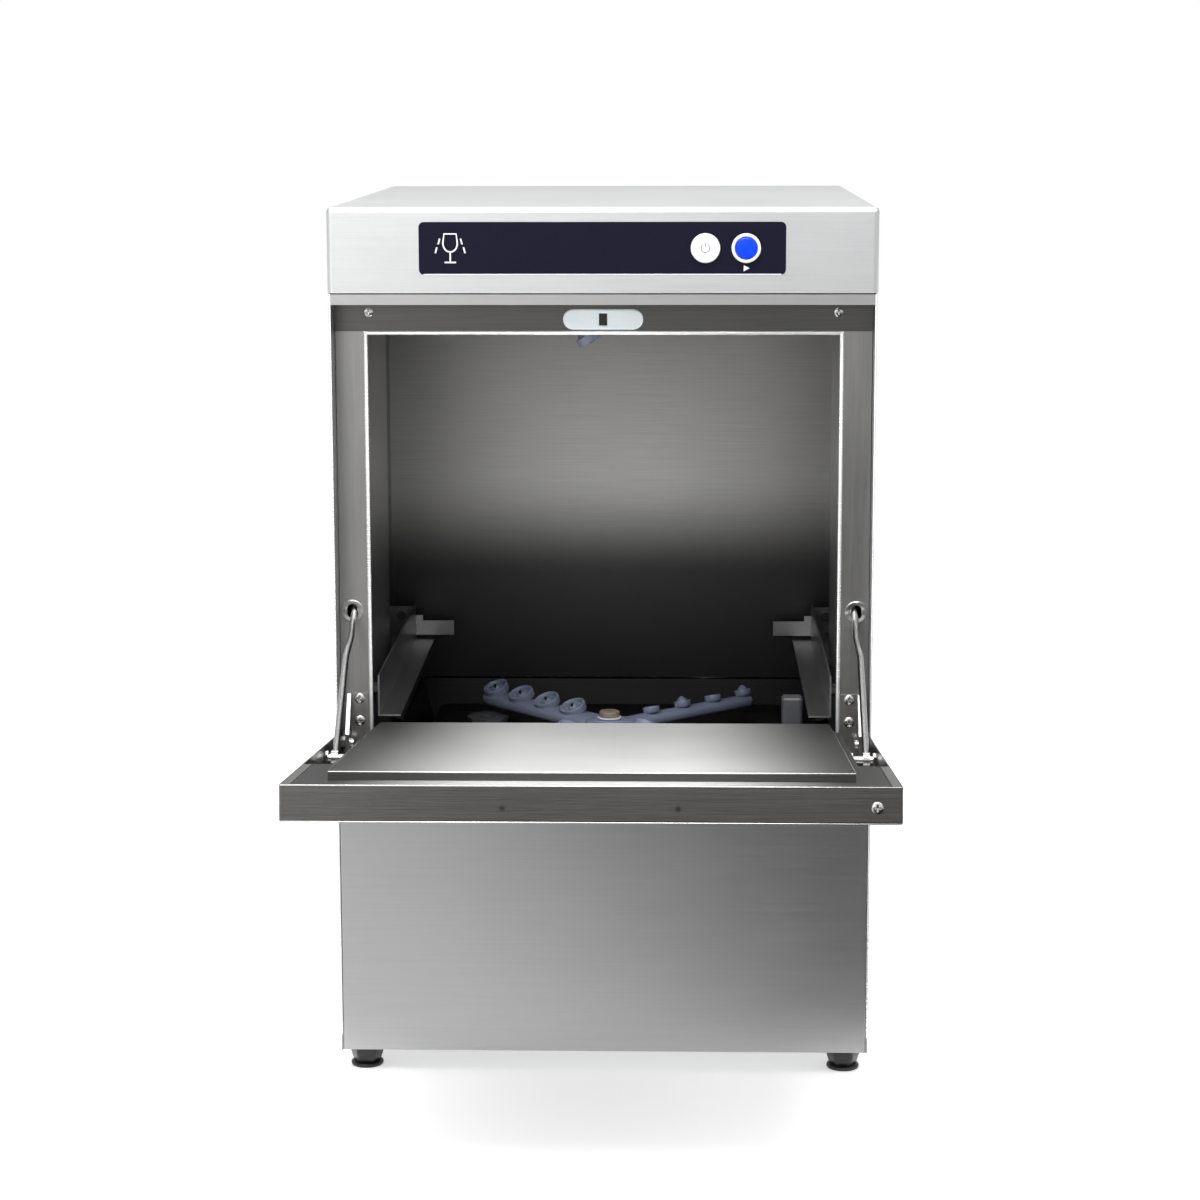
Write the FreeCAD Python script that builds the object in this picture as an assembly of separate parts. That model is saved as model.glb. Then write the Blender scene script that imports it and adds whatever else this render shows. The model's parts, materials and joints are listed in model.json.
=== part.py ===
import FreeCAD, Part
import math
import os
from FreeCAD import Vector

# Undercounter glass washer with a drop-down door, shown with the door open on its stays.
# Working frame: X to the right, Y from the fascia towards the back, Z up from the floor.
# Every size is in millimetres.

# ---- cabinet ----
cabinet_width = 420.0            # over the cover's skirts
cabinet_depth = 490.0            # over the cover, front to back
cabinet_height = 686.0           # floor to the top of the cover
sheet = 1.0                      # stainless sheet of every panel
foot_lift = 18.6                 # floor to the underside of the base tray
tray_flange = 25.0
panel_return = 15.0              # folded rear edge of a side panel
fascia_height = 65.0
skirt_height = 32.0
cover_bend = 4.0
strip_gap = 1.0                  # shadow gap under the fascia
strip_height = 8.0
band_height = 22.0               # recessed band over the opening
column_width = 24.5              # side skin to the opening lip
service_depth = 112.0            # room behind the wash chamber

# ---- door ----
door_thickness = 25.0
door_side_gap = 0.5
door_top_gap = 3.7
door_face_gap = 2.2              # door rim to the columns when shut
hinge_y = 15.0
hinge_z = 266.0
latch_plate_length = 62.0
rim_above_axis = 9.3             # door rim plane over the hinge axis
open_slope = 7.06                # degrees that the open door stands above level
shell_overhang = 5.0             # shell behind the hinge axis
liner_rise = 6.0
liner_front_margin = 26.0
liner_overhang = 11.7            # liner behind the hinge axis
liner_inset = 30.0               # cabinet skin to the raised liner
side_return = 6.8                # width of the shell's folded side rim
recess_depth_from_front = 118.0  # where the side recesses begin
recess_width = 22.0
edge_bend = 1.5

# ---- door stays ----
stay_hole_above_hinge = 103.5
stay_radius = 2.5
stay_offset = 9.0                # outer run of the stay, in from the side skin
stay_jog = 2.5
stay_jog_start = 46.0            # back from the hole to the first bend
stay_jog_end = 26.0
stay_tail = 12.0                 # rod beyond the hole when the door is open
pin_radius = 3.0
hinge_pin_radius = 4.0
running_clearance = 0.05         # radial
plate_thickness = 2.0
hinge_plate_height = 48.0
hinge_flange = 3.0
flange_from_skin = 8.5
spring_anchor_above_rim = 19.0
spring_anchor_from_back = 12.0
spring_radius = 5.0

# ---- wash chamber ----
ceiling_over_opening = 10.0
rim_below_hinge = 23.0
tank_depth = 83.0
tank_shoulder = 30.0             # height of the steep lower walls
tank_flange = 9.0
tank_front_gap = 8.0
spring_box_depth = 163.0         # columns reach this far behind their own face
chamber_side_gap = 6.0           # chamber wall to the side skin
rail_gap = 5.5                   # rail to the opening edge
rail_height = 33.0
rail_ledge = 16.5
rail_above_rim = 41.0
rail_post = 8.0                  # across the flats of a stand-off
strainer_below_rim = 21.0
strainer_sheet = 1.2
rail_sheet = 1.2
rail_front_gap = 5.5
rail_back_gap = 28.0

# ---- spray arms ----
arm_thickness = 12.0
wash_arm_below_rim = 13.0
wash_angle = 133.0               # degrees from +X, seen from above
rinse_angle = 41.6
upper_angle = 264.9
arm_side_clearance = 18.5
arm_end_clearance = 5.0
jet_radius = 11.5
jet_height = 6.5
jet_first = 46.0
jet_pitch = 35.0
jet_count = 4
nozzle_radius = 7.5
nozzle_height = 5.5
nozzle_first = 48.0
nozzle_pitch = 36.0
spindle_radius = 8.0
upper_arm_drop = 17.0            # ceiling to the underside of the upper arm

# ---- controls ----
overlay_width = 279.0
overlay_height = 40.0
overlay_thickness = 0.5
overlay_drop = 31.0              # top of the cover to the overlay's middle
button_radius = 11.2
button_gap = 0.3
button_proud = 3.5
button_travel = 2.0
start_from_overlay_end = 30.2
power_from_overlay_end = 61.1
lens_radius = 8.5
housing_wall = 2.2
board_thickness = 1.6
board_y = 25.0

# ---- services ----
foot_across_flats = 23.5
foot_sole = 13.0
foot_taper = 7.0
foot_inset_x = 19.0
foot_inset_y = 22.0
foot_stud_radius = 5.0
pump_axis_z = 80.0
pump_axis_offset = 32.0          # pump axis in front of the riser
volute_radius = 44.0
volute_half = 16.0
motor_radius = 37.0
motor_length = 96.0
shaft_radius = 4.0
riser_radius = 15.0
hose_radius = 14.0
hose_wall = 3.0
drain_radius = 14.0
drain_z = 60.0
fitting_reach = 20.0             # rear fittings beyond the rear panel
inlet_radius = 13.2              # 3/4 inch thread
inlet_z = 110.0
gland_radius = 8.0
gland_bore = 4.2
boiler_radius = 48.0
boiler_height = 240.0
boiler_above_floor = 45.0        # over the floor of the tank
boiler_x = 90.0
rinse_pipe_radius = 6.0
heater_radius = 3.2
suction_x = 75.0
drain_reach = 110.0              # left of the middle, where the opening leaves room for it
drain_from_side = 72.5           # least room from the drain's middle to the side of the opening
drain_behind_hub = 85.0
overflow_bore = 8.0
air_trap_clearance = 16.0        # trap's middle to the sweep of the lower arms
air_trap_half = 8.5
air_trap_rise = 42.0             # over the rim of the tank
fitting_hole_gap = 1.5           # radial room round the rear fittings in the panel
inlet_x = 150.0
gland_x = -160.0
dosing_x = 150.0
louvre_rows = 7
louvre_pitch = 22.0
louvre_low_z = 330.0
louvre_width = 76.0
louvre_height = 6.0
louvre_x = 95.0
rear_screw_x = 180.0

# ---- places worked out from the sizes above ----
skin_out = cabinet_width / 2 - sheet
skin_in = skin_out - sheet
panel_back = cabinet_depth - sheet
room_back = panel_back - sheet
fascia_z = cabinet_height - fascia_height
skirt_z = cabinet_height - skirt_height
overlay_centre_z = cabinet_height - overlay_drop
strip_top = fascia_z - strip_gap
strip_bottom = strip_top - strip_height
opening_top = strip_bottom - band_height
opening_half = skin_in - column_width
ceiling_z = opening_top + ceiling_over_opening
tank_rim_z = hinge_z - rim_below_hinge
tank_floor_z = tank_rim_z - tank_depth
rail_z = tank_rim_z + rail_above_rim
strainer_z = tank_rim_z - strainer_below_rim
wash_arm_z = tank_rim_z - wash_arm_below_rim
upper_arm_z = ceiling_z - upper_arm_drop
boiler_z = tank_floor_z + boiler_above_floor
stay_hole_z = hinge_z + stay_hole_above_hinge
column_face = hinge_y + rim_above_axis + door_face_gap
column_inner = opening_half + 2.0
column_back = column_face + spring_box_depth
chamber_back = room_back - sheet - service_depth
chamber_half = skin_in - chamber_side_gap
front_panel_top = hinge_z - math.hypot(shell_overhang, door_thickness - rim_above_axis) - 2.0

door_length = strip_bottom - hinge_z - door_top_gap
door_half = skin_in - door_side_gap
outer_below_axis = door_thickness - rim_above_axis
liner_half = skin_in - liner_inset
liner_front = door_length - liner_front_margin
recess_start = door_length - recess_depth_from_front
recess_inner = door_half - recess_width

arm_centre_y = (column_face + chamber_back) / 2 + 4.0
arm_radius = min(opening_half - arm_side_clearance,
                 chamber_back - arm_centre_y - arm_end_clearance)
upper_arm_radius = arm_centre_y - (column_face + 20 + sheet) - 3.0
drain_x = -min(drain_reach, opening_half - drain_from_side)
drain_y = arm_centre_y + drain_behind_hub
pump_y = arm_centre_y - pump_axis_offset
boiler_y = chamber_back + sheet + service_depth / 2 - 2.0
air_trap_x = opening_half - 32.0
trap_reach = arm_radius + air_trap_clearance
air_trap_y = arm_centre_y - math.sqrt(max(0.0, trap_reach ** 2 - air_trap_x ** 2))
rail_half = opening_half - rail_gap
rail_front = column_face + rail_front_gap
rail_back = chamber_back - rail_back_gap

power_x = overlay_width / 2 - power_from_overlay_end
start_x = overlay_width / 2 - start_from_overlay_end
button_z = overlay_centre_z + 0.2

stay_hole_y = column_face + 1.0
stay_circle = math.hypot(stay_hole_y - hinge_y, stay_hole_z - hinge_z)
stay_out_x = skin_in - stay_offset
stay_in_x = stay_out_x - stay_jog
stay_hole_x = (stay_in_x + stay_out_x) / 2
flange_x = skin_in - flange_from_skin
spring_anchor_y = column_back - spring_anchor_from_back
spring_anchor_z = tank_rim_z + spring_anchor_above_rim

slope = math.radians(open_slope)
front_reach = (hinge_y - (door_length - edge_bend) * math.cos(slope)
               - (outer_below_axis - edge_bend) * math.sin(slope) - edge_bend)
back_reach = panel_back + fitting_reach
row_shift = -(front_reach + back_reach) / 2

pieces = {}


# ---- helpers ----
def box(low, high):
    size = [b - a for a, b in zip(low, high)]
    return Part.makeBox(size[0], size[1], size[2], Vector(*low))


def rod(radius, start, end):
    reach = Vector(*end) - Vector(*start)
    return Part.makeCylinder(radius, reach.Length, Vector(*start), reach)


def tube(outer, inner, start, end):
    return rod(outer, start, end).cut(rod(inner, start, end))


def to_space(axis, a, b, along):
    if axis == "x":
        return Vector(along, a, b)
    if axis == "y":
        return Vector(a, along, b)
    return Vector(a, b, along)


def closed_face(points):
    return Part.Face(Part.makePolygon(points + [points[0]]))


def prism(axis, outline, low, high):
    corners = [to_space(axis, a, b, low) for a, b in outline]
    return closed_face(corners).extrude(to_space(axis, 0, 0, high - low))


def folded_sheet(axis, line, thickness, low, high):
    """A sheet bent along an open line, mitred at each fold."""
    sides = ([], [])
    for i, (a, b) in enumerate(line):
        normals = []
        for j in (i - 1, i):
            if 0 <= j < len(line) - 1:
                da = line[j + 1][0] - line[j][0]
                db = line[j + 1][1] - line[j][1]
                run = math.hypot(da, db)
                normals.append((-db / run, da / run))
        na = sum(n[0] for n in normals)
        nb = sum(n[1] for n in normals)
        scale = thickness / 2 * len(normals) / (na * na + nb * nb)
        sides[0].append((a + na * scale, b + nb * scale))
        sides[1].append((a - na * scale, b - nb * scale))
    return prism(axis, sides[0] + sides[1][::-1], low, high)


def edges_along(shape, axis):
    found = []
    for edge in shape.Edges:
        span = edge.Vertexes[-1].Point - edge.Vertexes[0].Point
        if abs(abs(span.dot(axis)) - span.Length) < 1e-6 and span.Length > 1e-6:
            found.append(edge)
    return found


def rounded_block(low, high, radius, axis):
    block = box(low, high)
    return block.makeFillet(radius, edges_along(block, axis))


def regular_loop(sides, across_flats, z):
    corner = across_flats / 2 / math.cos(math.pi / sides)
    angles = [2 * math.pi * k / sides for k in range(sides)]
    return [Vector(corner * math.cos(a), corner * math.sin(a), z) for a in angles]


def sided_bar(sides, across_flats, start, end):
    """A straight bar with a regular outline, such as a hexagon nut."""
    reach = Vector(*end) - Vector(*start)
    bar = closed_face(regular_loop(sides, across_flats, 0)).extrude(Vector(0, 0, reach.Length))
    bar.Placement = FreeCAD.Placement(Vector(*start), FreeCAD.Rotation(Vector(0, 0, 1), reach))
    return bar


def hexagon(across_flats, start, end):
    return sided_bar(6, across_flats, start, end)


def flat_sided(loops):
    """A solid with flat sides through a stack of outlines of as many corners."""
    faces = [closed_face(loops[0]), closed_face(loops[-1])]
    for lower, upper in zip(loops, loops[1:]):
        for k in range(len(lower)):
            j = (k + 1) % len(lower)
            faces.append(closed_face([lower[k], lower[j], upper[j], upper[k]]))
    solid = Part.Solid(Part.Shell(faces))
    if solid.Volume < 0:
        solid.reverse()
    return solid


def mitred_line(points, bend, steps):
    """The route's points with each corner turned in equal mitred steps about a bend radius."""
    route = [Vector(*p) for p in points]
    line = [route[0]]
    for before, corner, after in zip(route, route[1:], route[2:]):
        inward = (corner - before).normalize()
        onward = (after - corner).normalize()
        turn = inward.getAngle(onward)
        start = corner - inward * (bend * math.tan(turn / 2))
        to_centre = (onward - inward * math.cos(turn)).normalize()
        centre = start + to_centre * bend
        reach = bend / math.cos(turn / 2 / steps)
        for k in range(steps):
            angle = turn * (k + 0.5) / steps
            line.append(centre - to_centre * (reach * math.cos(angle)) + inward * (reach * math.sin(angle)))
    return line + [route[-1]]


def swept_rod(radius, line):
    """A round rod along straight runs with mitred corners."""
    section = Part.Wire(Part.makeCircle(radius, line[0], line[1] - line[0]))
    return Part.makePolygon(line).makePipeShell([section], True, False, 1)


def hose(radius, points, bend, steps=3):
    return swept_rod(radius, mitred_line(points, bend, steps))


def mirrored(shape):
    return shape.mirror(Vector(0, 0, 0), Vector(1, 0, 0))


def both_sides(shape):
    return [shape, mirrored(shape)]


def group(solids):
    return Part.makeCompound(solids)


def turned(shape, angle, x, y):
    copy = shape.copy()
    copy.rotate(Vector(0, 0, 0), Vector(0, 0, 1), angle)
    copy.translate(Vector(x, y, 0))
    return copy


def fused(shapes):
    whole = shapes[0].fuse(shapes[1:])
    return whole.removeSplitter()


def screw_head(radius, height, seat, outward):
    return Part.makeCylinder(radius, height, Vector(*seat), Vector(*outward))


def slot_screw(radius, height, seat, outward, across):
    head = screw_head(radius, height, seat, outward)
    out = Vector(*outward)
    arm = Vector(*across) * (radius * 1.2)
    half_slot = out.cross(Vector(*across)) * (radius * 0.14)
    middle = Vector(*seat) + out * (height * 0.5)
    slot = closed_face([middle - arm - half_slot, middle + arm - half_slot,
                        middle + arm + half_slot, middle - arm + half_slot])
    return head.cut(slot.extrude(out * height))


# ---- cabinet ----
def foot_places():
    back_y = room_back - foot_inset_y
    side_x = cabinet_width / 2 - foot_inset_x
    return {"front_left": (-side_x, foot_inset_y), "front_right": (side_x, foot_inset_y),
            "rear_left": (-side_x, back_y), "rear_right": (side_x, back_y)}


def make_base_tray():
    low_y = sheet + 0.2
    top = foot_lift + tray_flange
    tray = box((-skin_in, low_y, foot_lift), (skin_in, room_back - sheet, top))
    hollow = box((-skin_in + sheet, low_y + sheet, foot_lift + sheet),
                 (skin_in - sheet, room_back - 2 * sheet, top + 1))
    tray = tray.cut(hollow)
    for x, y in foot_places().values():
        stud_hole = rod(foot_stud_radius + running_clearance, (x, y, foot_lift - 1), (x, y, foot_lift + 5))
        tray = tray.cut(stud_hole)
    vent_half, vent_pitch, vent_front, vent_back = 4.0, 30.0, 300.0, 380.0
    vents = [box((x - vent_half, vent_front, foot_lift - 1), (x + vent_half, vent_back, foot_lift + 3))
             for x in (vent_pitch * (k - 1.5) for k in range(4))]
    tray = tray.cut(group(vents))
    return tray.cut(rod(drain_radius + fitting_hole_gap, (drain_x, room_back - 3, drain_z),
                        (drain_x, room_back + 2, drain_z)))


def make_foot():
    """A moulded hexagonal levelling foot on its stud, standing at the origin."""
    neck = foot_lift - 2.5
    body = flat_sided([regular_loop(6, foot_sole, 0), regular_loop(6, foot_across_flats, foot_taper),
                       regular_loop(6, foot_across_flats, neck)])
    collar = hexagon(foot_across_flats * 0.72, (0, 0, neck), (0, 0, foot_lift - 0.3))
    stud = rod(foot_stud_radius, (0, 0, foot_lift - 3), (0, 0, foot_lift + 14))
    return fused([body, collar, stud])


def make_side_panel():
    top = cabinet_height - cover_bend - 0.5
    line = [(skin_out - sheet / 2, 0), (skin_out - sheet / 2, room_back - sheet / 2),
            (skin_out - panel_return, room_back - sheet / 2)]
    panel = folded_sheet("z", line, sheet, foot_lift, top)
    return panel.cut(box((skin_in - 1, -1, fascia_z - 0.3), (skin_out + 1, cover_bend + 1, top + 1)))


def make_rear_panel():
    panel = box((-skin_out, room_back, foot_lift), (skin_out, panel_back, skirt_z))
    louvres = []
    for middle in (-louvre_x, louvre_x):
        for k in range(louvre_rows):
            z = louvre_low_z + louvre_pitch * k
            louvres.append(box((middle - louvre_width / 2, room_back - 1, z),
                               (middle + louvre_width / 2, panel_back + 1, z + louvre_height)))
    panel = panel.cut(group(louvres))
    holes = [(drain_x, drain_z, drain_radius + fitting_hole_gap),
             (inlet_x, inlet_z, inlet_radius + fitting_hole_gap), (gland_x, inlet_z, gland_radius + 0.2)]
    for x, z, radius in holes:
        panel = panel.cut(rod(radius, (x, room_back - 1, z), (x, panel_back + 1, z)))
    return panel


def make_lower_front_panel():
    half = skin_in - 0.6
    side_fold = 22.0
    line = [(-half + sheet / 2, side_fold), (-half + sheet / 2, sheet / 2),
            (half - sheet / 2, sheet / 2), (half - sheet / 2, side_fold)]
    panel = folded_sheet("z", line, sheet, foot_lift + 0.6, front_panel_top)
    panel = panel.makeFillet(1.2, [e for e in edges_along(panel, Vector(0, 0, 1))
                                   if e.Vertexes[0].Point.y < 1e-3])
    top = box((-half, 0.8, front_panel_top - sheet), (half, 6, front_panel_top))
    return fused([panel, top]).cut(tray_room())


def tray_room():
    return box((-skin_in, sheet + 0.2, foot_lift), (skin_in, room_back, foot_lift + tray_flange + 0.2))


def make_top_cover():
    half = cabinet_width / 2

    def block(inset, low):
        return box((-half + inset, inset, low), (half - inset, cabinet_depth - inset, cabinet_height - inset))

    def bent_edges(solid, inset):
        top = cabinet_height - inset - 0.1
        side = half - inset - 0.1
        return [e for e in solid.Edges if e.CenterOfMass.z > top
                or (e.CenterOfMass.y < inset + 0.1 and abs(e.CenterOfMass.x) > side)]

    outer = block(0, fascia_z)
    outer = outer.makeFillet(cover_bend, bent_edges(outer, 0))
    inner = block(sheet, fascia_z - 1)
    inner = inner.makeChamfer(cover_bend / 2, bent_edges(inner, sheet))
    fascia_return = 14.0
    skirt_room = box((-half - 1, fascia_return, fascia_z - 1), (half + 1, cabinet_depth + 1, skirt_z))
    hem = box((-half + cover_bend, sheet - 0.2, fascia_z), (half - cover_bend, 9, fascia_z + sheet))
    cover = fused([outer.cut(inner).cut(skirt_room), hem])
    for x in (power_x, start_x):
        cover = cover.cut(rod(button_radius + button_gap, (x, -1, button_z), (x, 3, button_z)))
    return cover


def make_control_overlay():
    film = rounded_block((-overlay_width / 2, -overlay_thickness, overlay_centre_z - overlay_height / 2),
                         (overlay_width / 2, 0, overlay_centre_z + overlay_height / 2), 4.0, Vector(0, 1, 0))
    for x in (power_x, start_x):
        film = film.cut(rod(button_radius + button_gap, (x, -1, button_z), (x, 1, button_z)))
    return film


def make_button_housing(x):
    bore = button_radius + button_gap
    half = bore + housing_wall
    shell = box((x - half, sheet, button_z - half), (x + half, 21, button_z + half))
    return shell.cut(rod(bore, (x, 0, button_z), (x, 17, button_z)))


def make_button(x, with_lens_seat):
    cap = rod(button_radius, (x, -button_proud, button_z), (x, 10, button_z))
    if with_lens_seat:
        return cap.cut(rod(lens_radius, (x, -button_proud - 1, button_z), (x, -button_proud + 1.5, button_z)))
    rim = [e for e in cap.Edges if e.CenterOfMass.y < -button_proud + 0.01]
    return cap.makeChamfer(1.0, rim)


def make_start_lens():
    seat = -button_proud + 1.5
    return rod(lens_radius, (start_x, -button_proud - 0.6, button_z), (start_x, seat, button_z))


def make_control_board():
    low_z = overlay_centre_z - 22
    face_y = board_y + board_thickness
    right = start_x + 18
    parts = [box((-60, board_y, low_z), (right, face_y, low_z + 44))]
    relay_pitch, relay_width = 24.0, 18.0
    for k in range(3):
        x = -50 + relay_pitch * k
        parts.append(box((x, face_y, low_z + 6), (x + relay_width, face_y + 15, low_z + 22)))
    parts.append(box((30, face_y, low_z + 6), (62, face_y + 25, low_z + 34)))
    parts.append(box((74, face_y, low_z + 8), (116, face_y + 11, low_z + 16)))
    for x in (-54, right - 6):
        for z in (low_z + 5, low_z + 39):
            parts.append(hexagon(5.0, (x, sheet, z), (x, board_y, z)))
    return fused(parts)


def make_column():
    """The right-hand column: face, spring box wall and the flange that carries the chamber side."""
    t = sheet / 2
    wing = skin_in - 0.5 - t
    side_fold = 34.0
    line = [(chamber_half + t, column_back - t), (column_inner + t, column_back - t),
            (column_inner + t, column_face + t), (wing, column_face + t), (wing, column_face + side_fold)]
    column_low = tank_rim_z + 3
    column = folded_sheet("z", line, sheet, column_low, opening_top - 0.2)
    column = column.cut(rod(8.0, (stay_hole_x, column_face - 1, stay_hole_z),
                            (stay_hole_x, column_face + 2, stay_hole_z)))
    anchor = rod(3.0, (column_inner + sheet, spring_anchor_y, spring_anchor_z),
                 (stay_in_x + 6, spring_anchor_y, spring_anchor_z))
    leg_line = [(column_inner + t, column_face + t), (wing, column_face + t)]
    leg = folded_sheet("z", leg_line, sheet, foot_lift + tray_flange - 8, column_low)
    return fused([column, anchor, leg])


def make_door_header():
    t = sheet / 2
    half = skin_in - 0.4
    line = [(12, strip_top - t), (sheet + t, strip_top - t), (sheet + t, strip_bottom + t),
            (column_face + t, strip_bottom + t), (column_face + t, opening_top + t),
            (column_face + 15, opening_top + t)]
    return folded_sheet("x", line, sheet, -half, half)


def make_opening_lip():
    low = tank_rim_z + 14
    outer = box((-column_inner, column_face - 1.6, low), (column_inner, column_face + 4, opening_top))
    inner = box((-opening_half, column_face - 3, low - 1), (opening_half, column_face + 6, opening_top - 2))
    lip = outer.cut(inner)
    front = [e for e in lip.Edges if e.CenterOfMass.y < column_face - 1.5 and e.Length > 100]
    return lip.makeFillet(0.6, front)


def make_latch_cover():
    z = (opening_top + strip_bottom) / 2 - 2.0
    half = latch_plate_length / 2
    plate = rounded_block((-half, column_face - 1.7, z - 8), (half, column_face, z + 8), 7.9, Vector(0, 1, 0))
    front = [e for e in plate.Edges if e.CenterOfMass.y < column_face - 1.6]
    plate = plate.makeChamfer(0.6, front)
    window = box((-3.2, column_face - 3, z - 4.7), (3.2, column_face - 0.4, z + 4.7))
    sensor = box((-2.9, column_face - 1.4, z - 4.4), (2.9, column_face - 0.4, z + 4.4))
    sensor = sensor.cut(box((-1.6, column_face - 2, z - 3.2), (1.6, column_face - 0.9, z + 1.2)))
    return plate.cut(window), sensor


# ---- wash chamber ----
def make_chamber_side():
    t = sheet / 2
    line = [(chamber_half + t, ceiling_z), (chamber_half + t, tank_rim_z + 10),
            (opening_half - 8, tank_rim_z + 2.2)]
    return folded_sheet("y", line, sheet, column_back, chamber_back)


def make_chamber_back():
    half = chamber_half + sheet
    flange_run = 14.0
    back = box((-half, chamber_back, tank_rim_z + 1), (half, chamber_back + sheet, ceiling_z))
    flange = box((-half, chamber_back, ceiling_z - sheet), (half, chamber_back + flange_run, ceiling_z))
    return fused([back, flange])


def make_chamber_ceiling():
    t = sheet / 2
    lip_run = 15.0
    step_y = column_face + 20
    back = chamber_back + 14
    line = [(column_face + lip_run, opening_top + sheet + t), (step_y, opening_top + sheet + t),
            (step_y, ceiling_z + t), (back, ceiling_z + t)]
    ceiling = folded_sheet("x", line, sheet, -column_inner - 0.6, column_inner + 0.6)
    half = chamber_half + sheet
    wide = box((-half, column_back, ceiling_z), (half, back, ceiling_z + sheet))
    hole = rod(spindle_radius + 0.2, (0, arm_centre_y, ceiling_z - 5), (0, arm_centre_y, ceiling_z + 5))
    return fused([ceiling, wide]).cut(hole)


def tank_body(inset):
    """The basin's solid, drawn in from its rim to its floor, less the wall."""
    half = opening_half - tank_flange - inset
    front = tank_front_gap + inset
    back = chamber_back - 4 - inset
    wall_draw, floor_draw = 14.0, 60.0

    def loop(shrink, z):
        corners = [(-half + shrink, front + shrink), (half - shrink, front + shrink),
                   (half - shrink, back - shrink), (-half + shrink, back - shrink)]
        return [Vector(a, b, z) for a, b in corners]

    top = tank_rim_z + (0.5 if inset else 0)
    return flat_sided([loop(floor_draw, tank_floor_z + inset),
                       loop(wall_draw, tank_floor_z + tank_shoulder + inset), loop(0, top)])


def make_tank():
    flange = box((-column_inner + 0.2, tank_front_gap - 2, tank_rim_z - sheet),
                 (column_inner - 0.2, chamber_back - 0.2, tank_rim_z))
    tank = flange.fuse(tank_body(0)).cut(tank_body(sheet))
    boss_wall, boss_drop = 2.0, 12.0
    outlets = ((0, arm_centre_y, riser_radius + boss_wall), (suction_x, pump_y, hose_radius),
               (drain_x, drain_y, drain_radius))
    for x, y, radius in outlets:
        bore = radius - boss_wall
        boss = tube(radius, bore, (x, y, tank_floor_z - boss_drop), (x, y, tank_floor_z + 0.5))
        tank = tank.cut(rod(bore, (x, y, tank_floor_z - 5), (x, y, tank_floor_z + 5))).fuse(boss)
    return tank.removeSplitter()


def make_tank_strainer():
    half = opening_half - 27
    front = tank_front_gap + 18
    back = chamber_back - 22
    top = strainer_z + strainer_sheet
    plate = rounded_block((-half, front, strainer_z), (half, back, top), 12, Vector(0, 0, 1))
    columns, rows, margin = 5, 6, 28.0
    slot_half, slot_width = 11.0, 4.0
    hub_room, drain_room = 40.0, 34.0
    slots = []
    for i in range(columns):
        for k in range(rows):
            x = -half + margin + i * 2 * (half - margin) / (columns - 1)
            y = front + margin + k * (back - front - 2 * margin) / (rows - 1)
            clear_of_hub = math.hypot(x, y - arm_centre_y) > hub_room
            clear_of_drain = math.hypot(x - drain_x, y - drain_y) > drain_room
            if clear_of_hub and clear_of_drain:
                slots.append(box((x - slot_half, y - slot_width / 2, strainer_z - 1),
                                 (x + slot_half, y + slot_width / 2, top + 1)))
    plate = plate.cut(group(slots))
    for x, y, radius in ((0, arm_centre_y, 22), (drain_x, drain_y, 19)):
        plate = plate.cut(rod(radius, (x, y, strainer_z - 1), (x, y, top + 1)))
    trap_notch = box((air_trap_x - air_trap_half - 1, air_trap_y - air_trap_half - 1, strainer_z - 1),
                     (half + 1, air_trap_y + air_trap_half + 1, top + 1))
    return plate.cut(trap_notch)


def make_overflow_pipe():
    grip_low = strainer_z - 9
    grip_top = wash_arm_z - 4
    pipe = rod(overflow_bore + 1.8, (drain_x, drain_y, tank_floor_z - 8), (drain_x, drain_y, grip_low))
    grip = sided_bar(8, 34.0, (drain_x, drain_y, grip_low), (drain_x, drain_y, grip_top))
    bore = rod(overflow_bore, (drain_x, drain_y, tank_floor_z - 9), (drain_x, drain_y, grip_top + 1))
    return fused([pipe, grip]).cut(bore)


def make_air_trap():
    half = air_trap_half
    top = tank_rim_z + air_trap_rise
    trap = rounded_block((air_trap_x - half, air_trap_y - half, tank_rim_z - 40),
                         (air_trap_x + half, air_trap_y + half, top), 3, Vector(0, 0, 1))
    return trap.makeChamfer(1.5, [e for e in trap.Edges if e.CenterOfMass.z > top - 0.1])


def make_rack_rail():
    t = rail_sheet / 2
    line = [(rail_half + t, rail_z + rail_height), (rail_half + t, rail_z + t),
            (rail_half - rail_ledge, rail_z + t)]
    parts = [folded_sheet("y", line, rail_sheet, rail_front, rail_back)]
    post_z = rail_z + rail_height / 2
    for y in (rail_front + 28, column_back - 20):
        parts.append(hexagon(rail_post, (rail_half + rail_sheet, y, post_z), (column_inner, y, post_z)))
    return fused(parts)


def make_rack_stop():
    y = rail_back
    stop_sheet = 1.5
    outline = [(rail_half + 1, rail_z + 30), (chamber_half, rail_z + 30), (chamber_half, rail_z - 16),
               (rail_half + 11, rail_z - 16), (rail_half + 1, rail_z - 4)]
    plate = prism("y", outline, y, y + stop_sheet)
    link = box((rail_half - 6, y, rail_z + 4), (rail_half + 2, y + stop_sheet, rail_z + 22))
    tab = box((rail_half - 34, y, rail_z + 4), (rail_half - 5, y + stop_sheet, rail_z + 17))
    return fused([plate, link, tab])


# ---- door hardware on the cabinet ----
def make_hinge_plate():
    low = hinge_z - 10
    high = low + hinge_plate_height
    plate = box((opening_half + 2.2, column_face - plate_thickness, low), (flange_x, column_face, high))
    front = hinge_y - 10
    outline = [(column_face, high), (column_face - 4, high), (front, hinge_z + 9), (front, low),
               (column_face, low)]
    flange = prism("x", outline, flange_x, flange_x + hinge_flange)
    pin_hole = rod(hinge_pin_radius + running_clearance, (flange_x - 1, hinge_y, hinge_z),
                   (flange_x + hinge_flange + 1, hinge_y, hinge_z))
    return fused([plate, flange]).cut(pin_hole)


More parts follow.
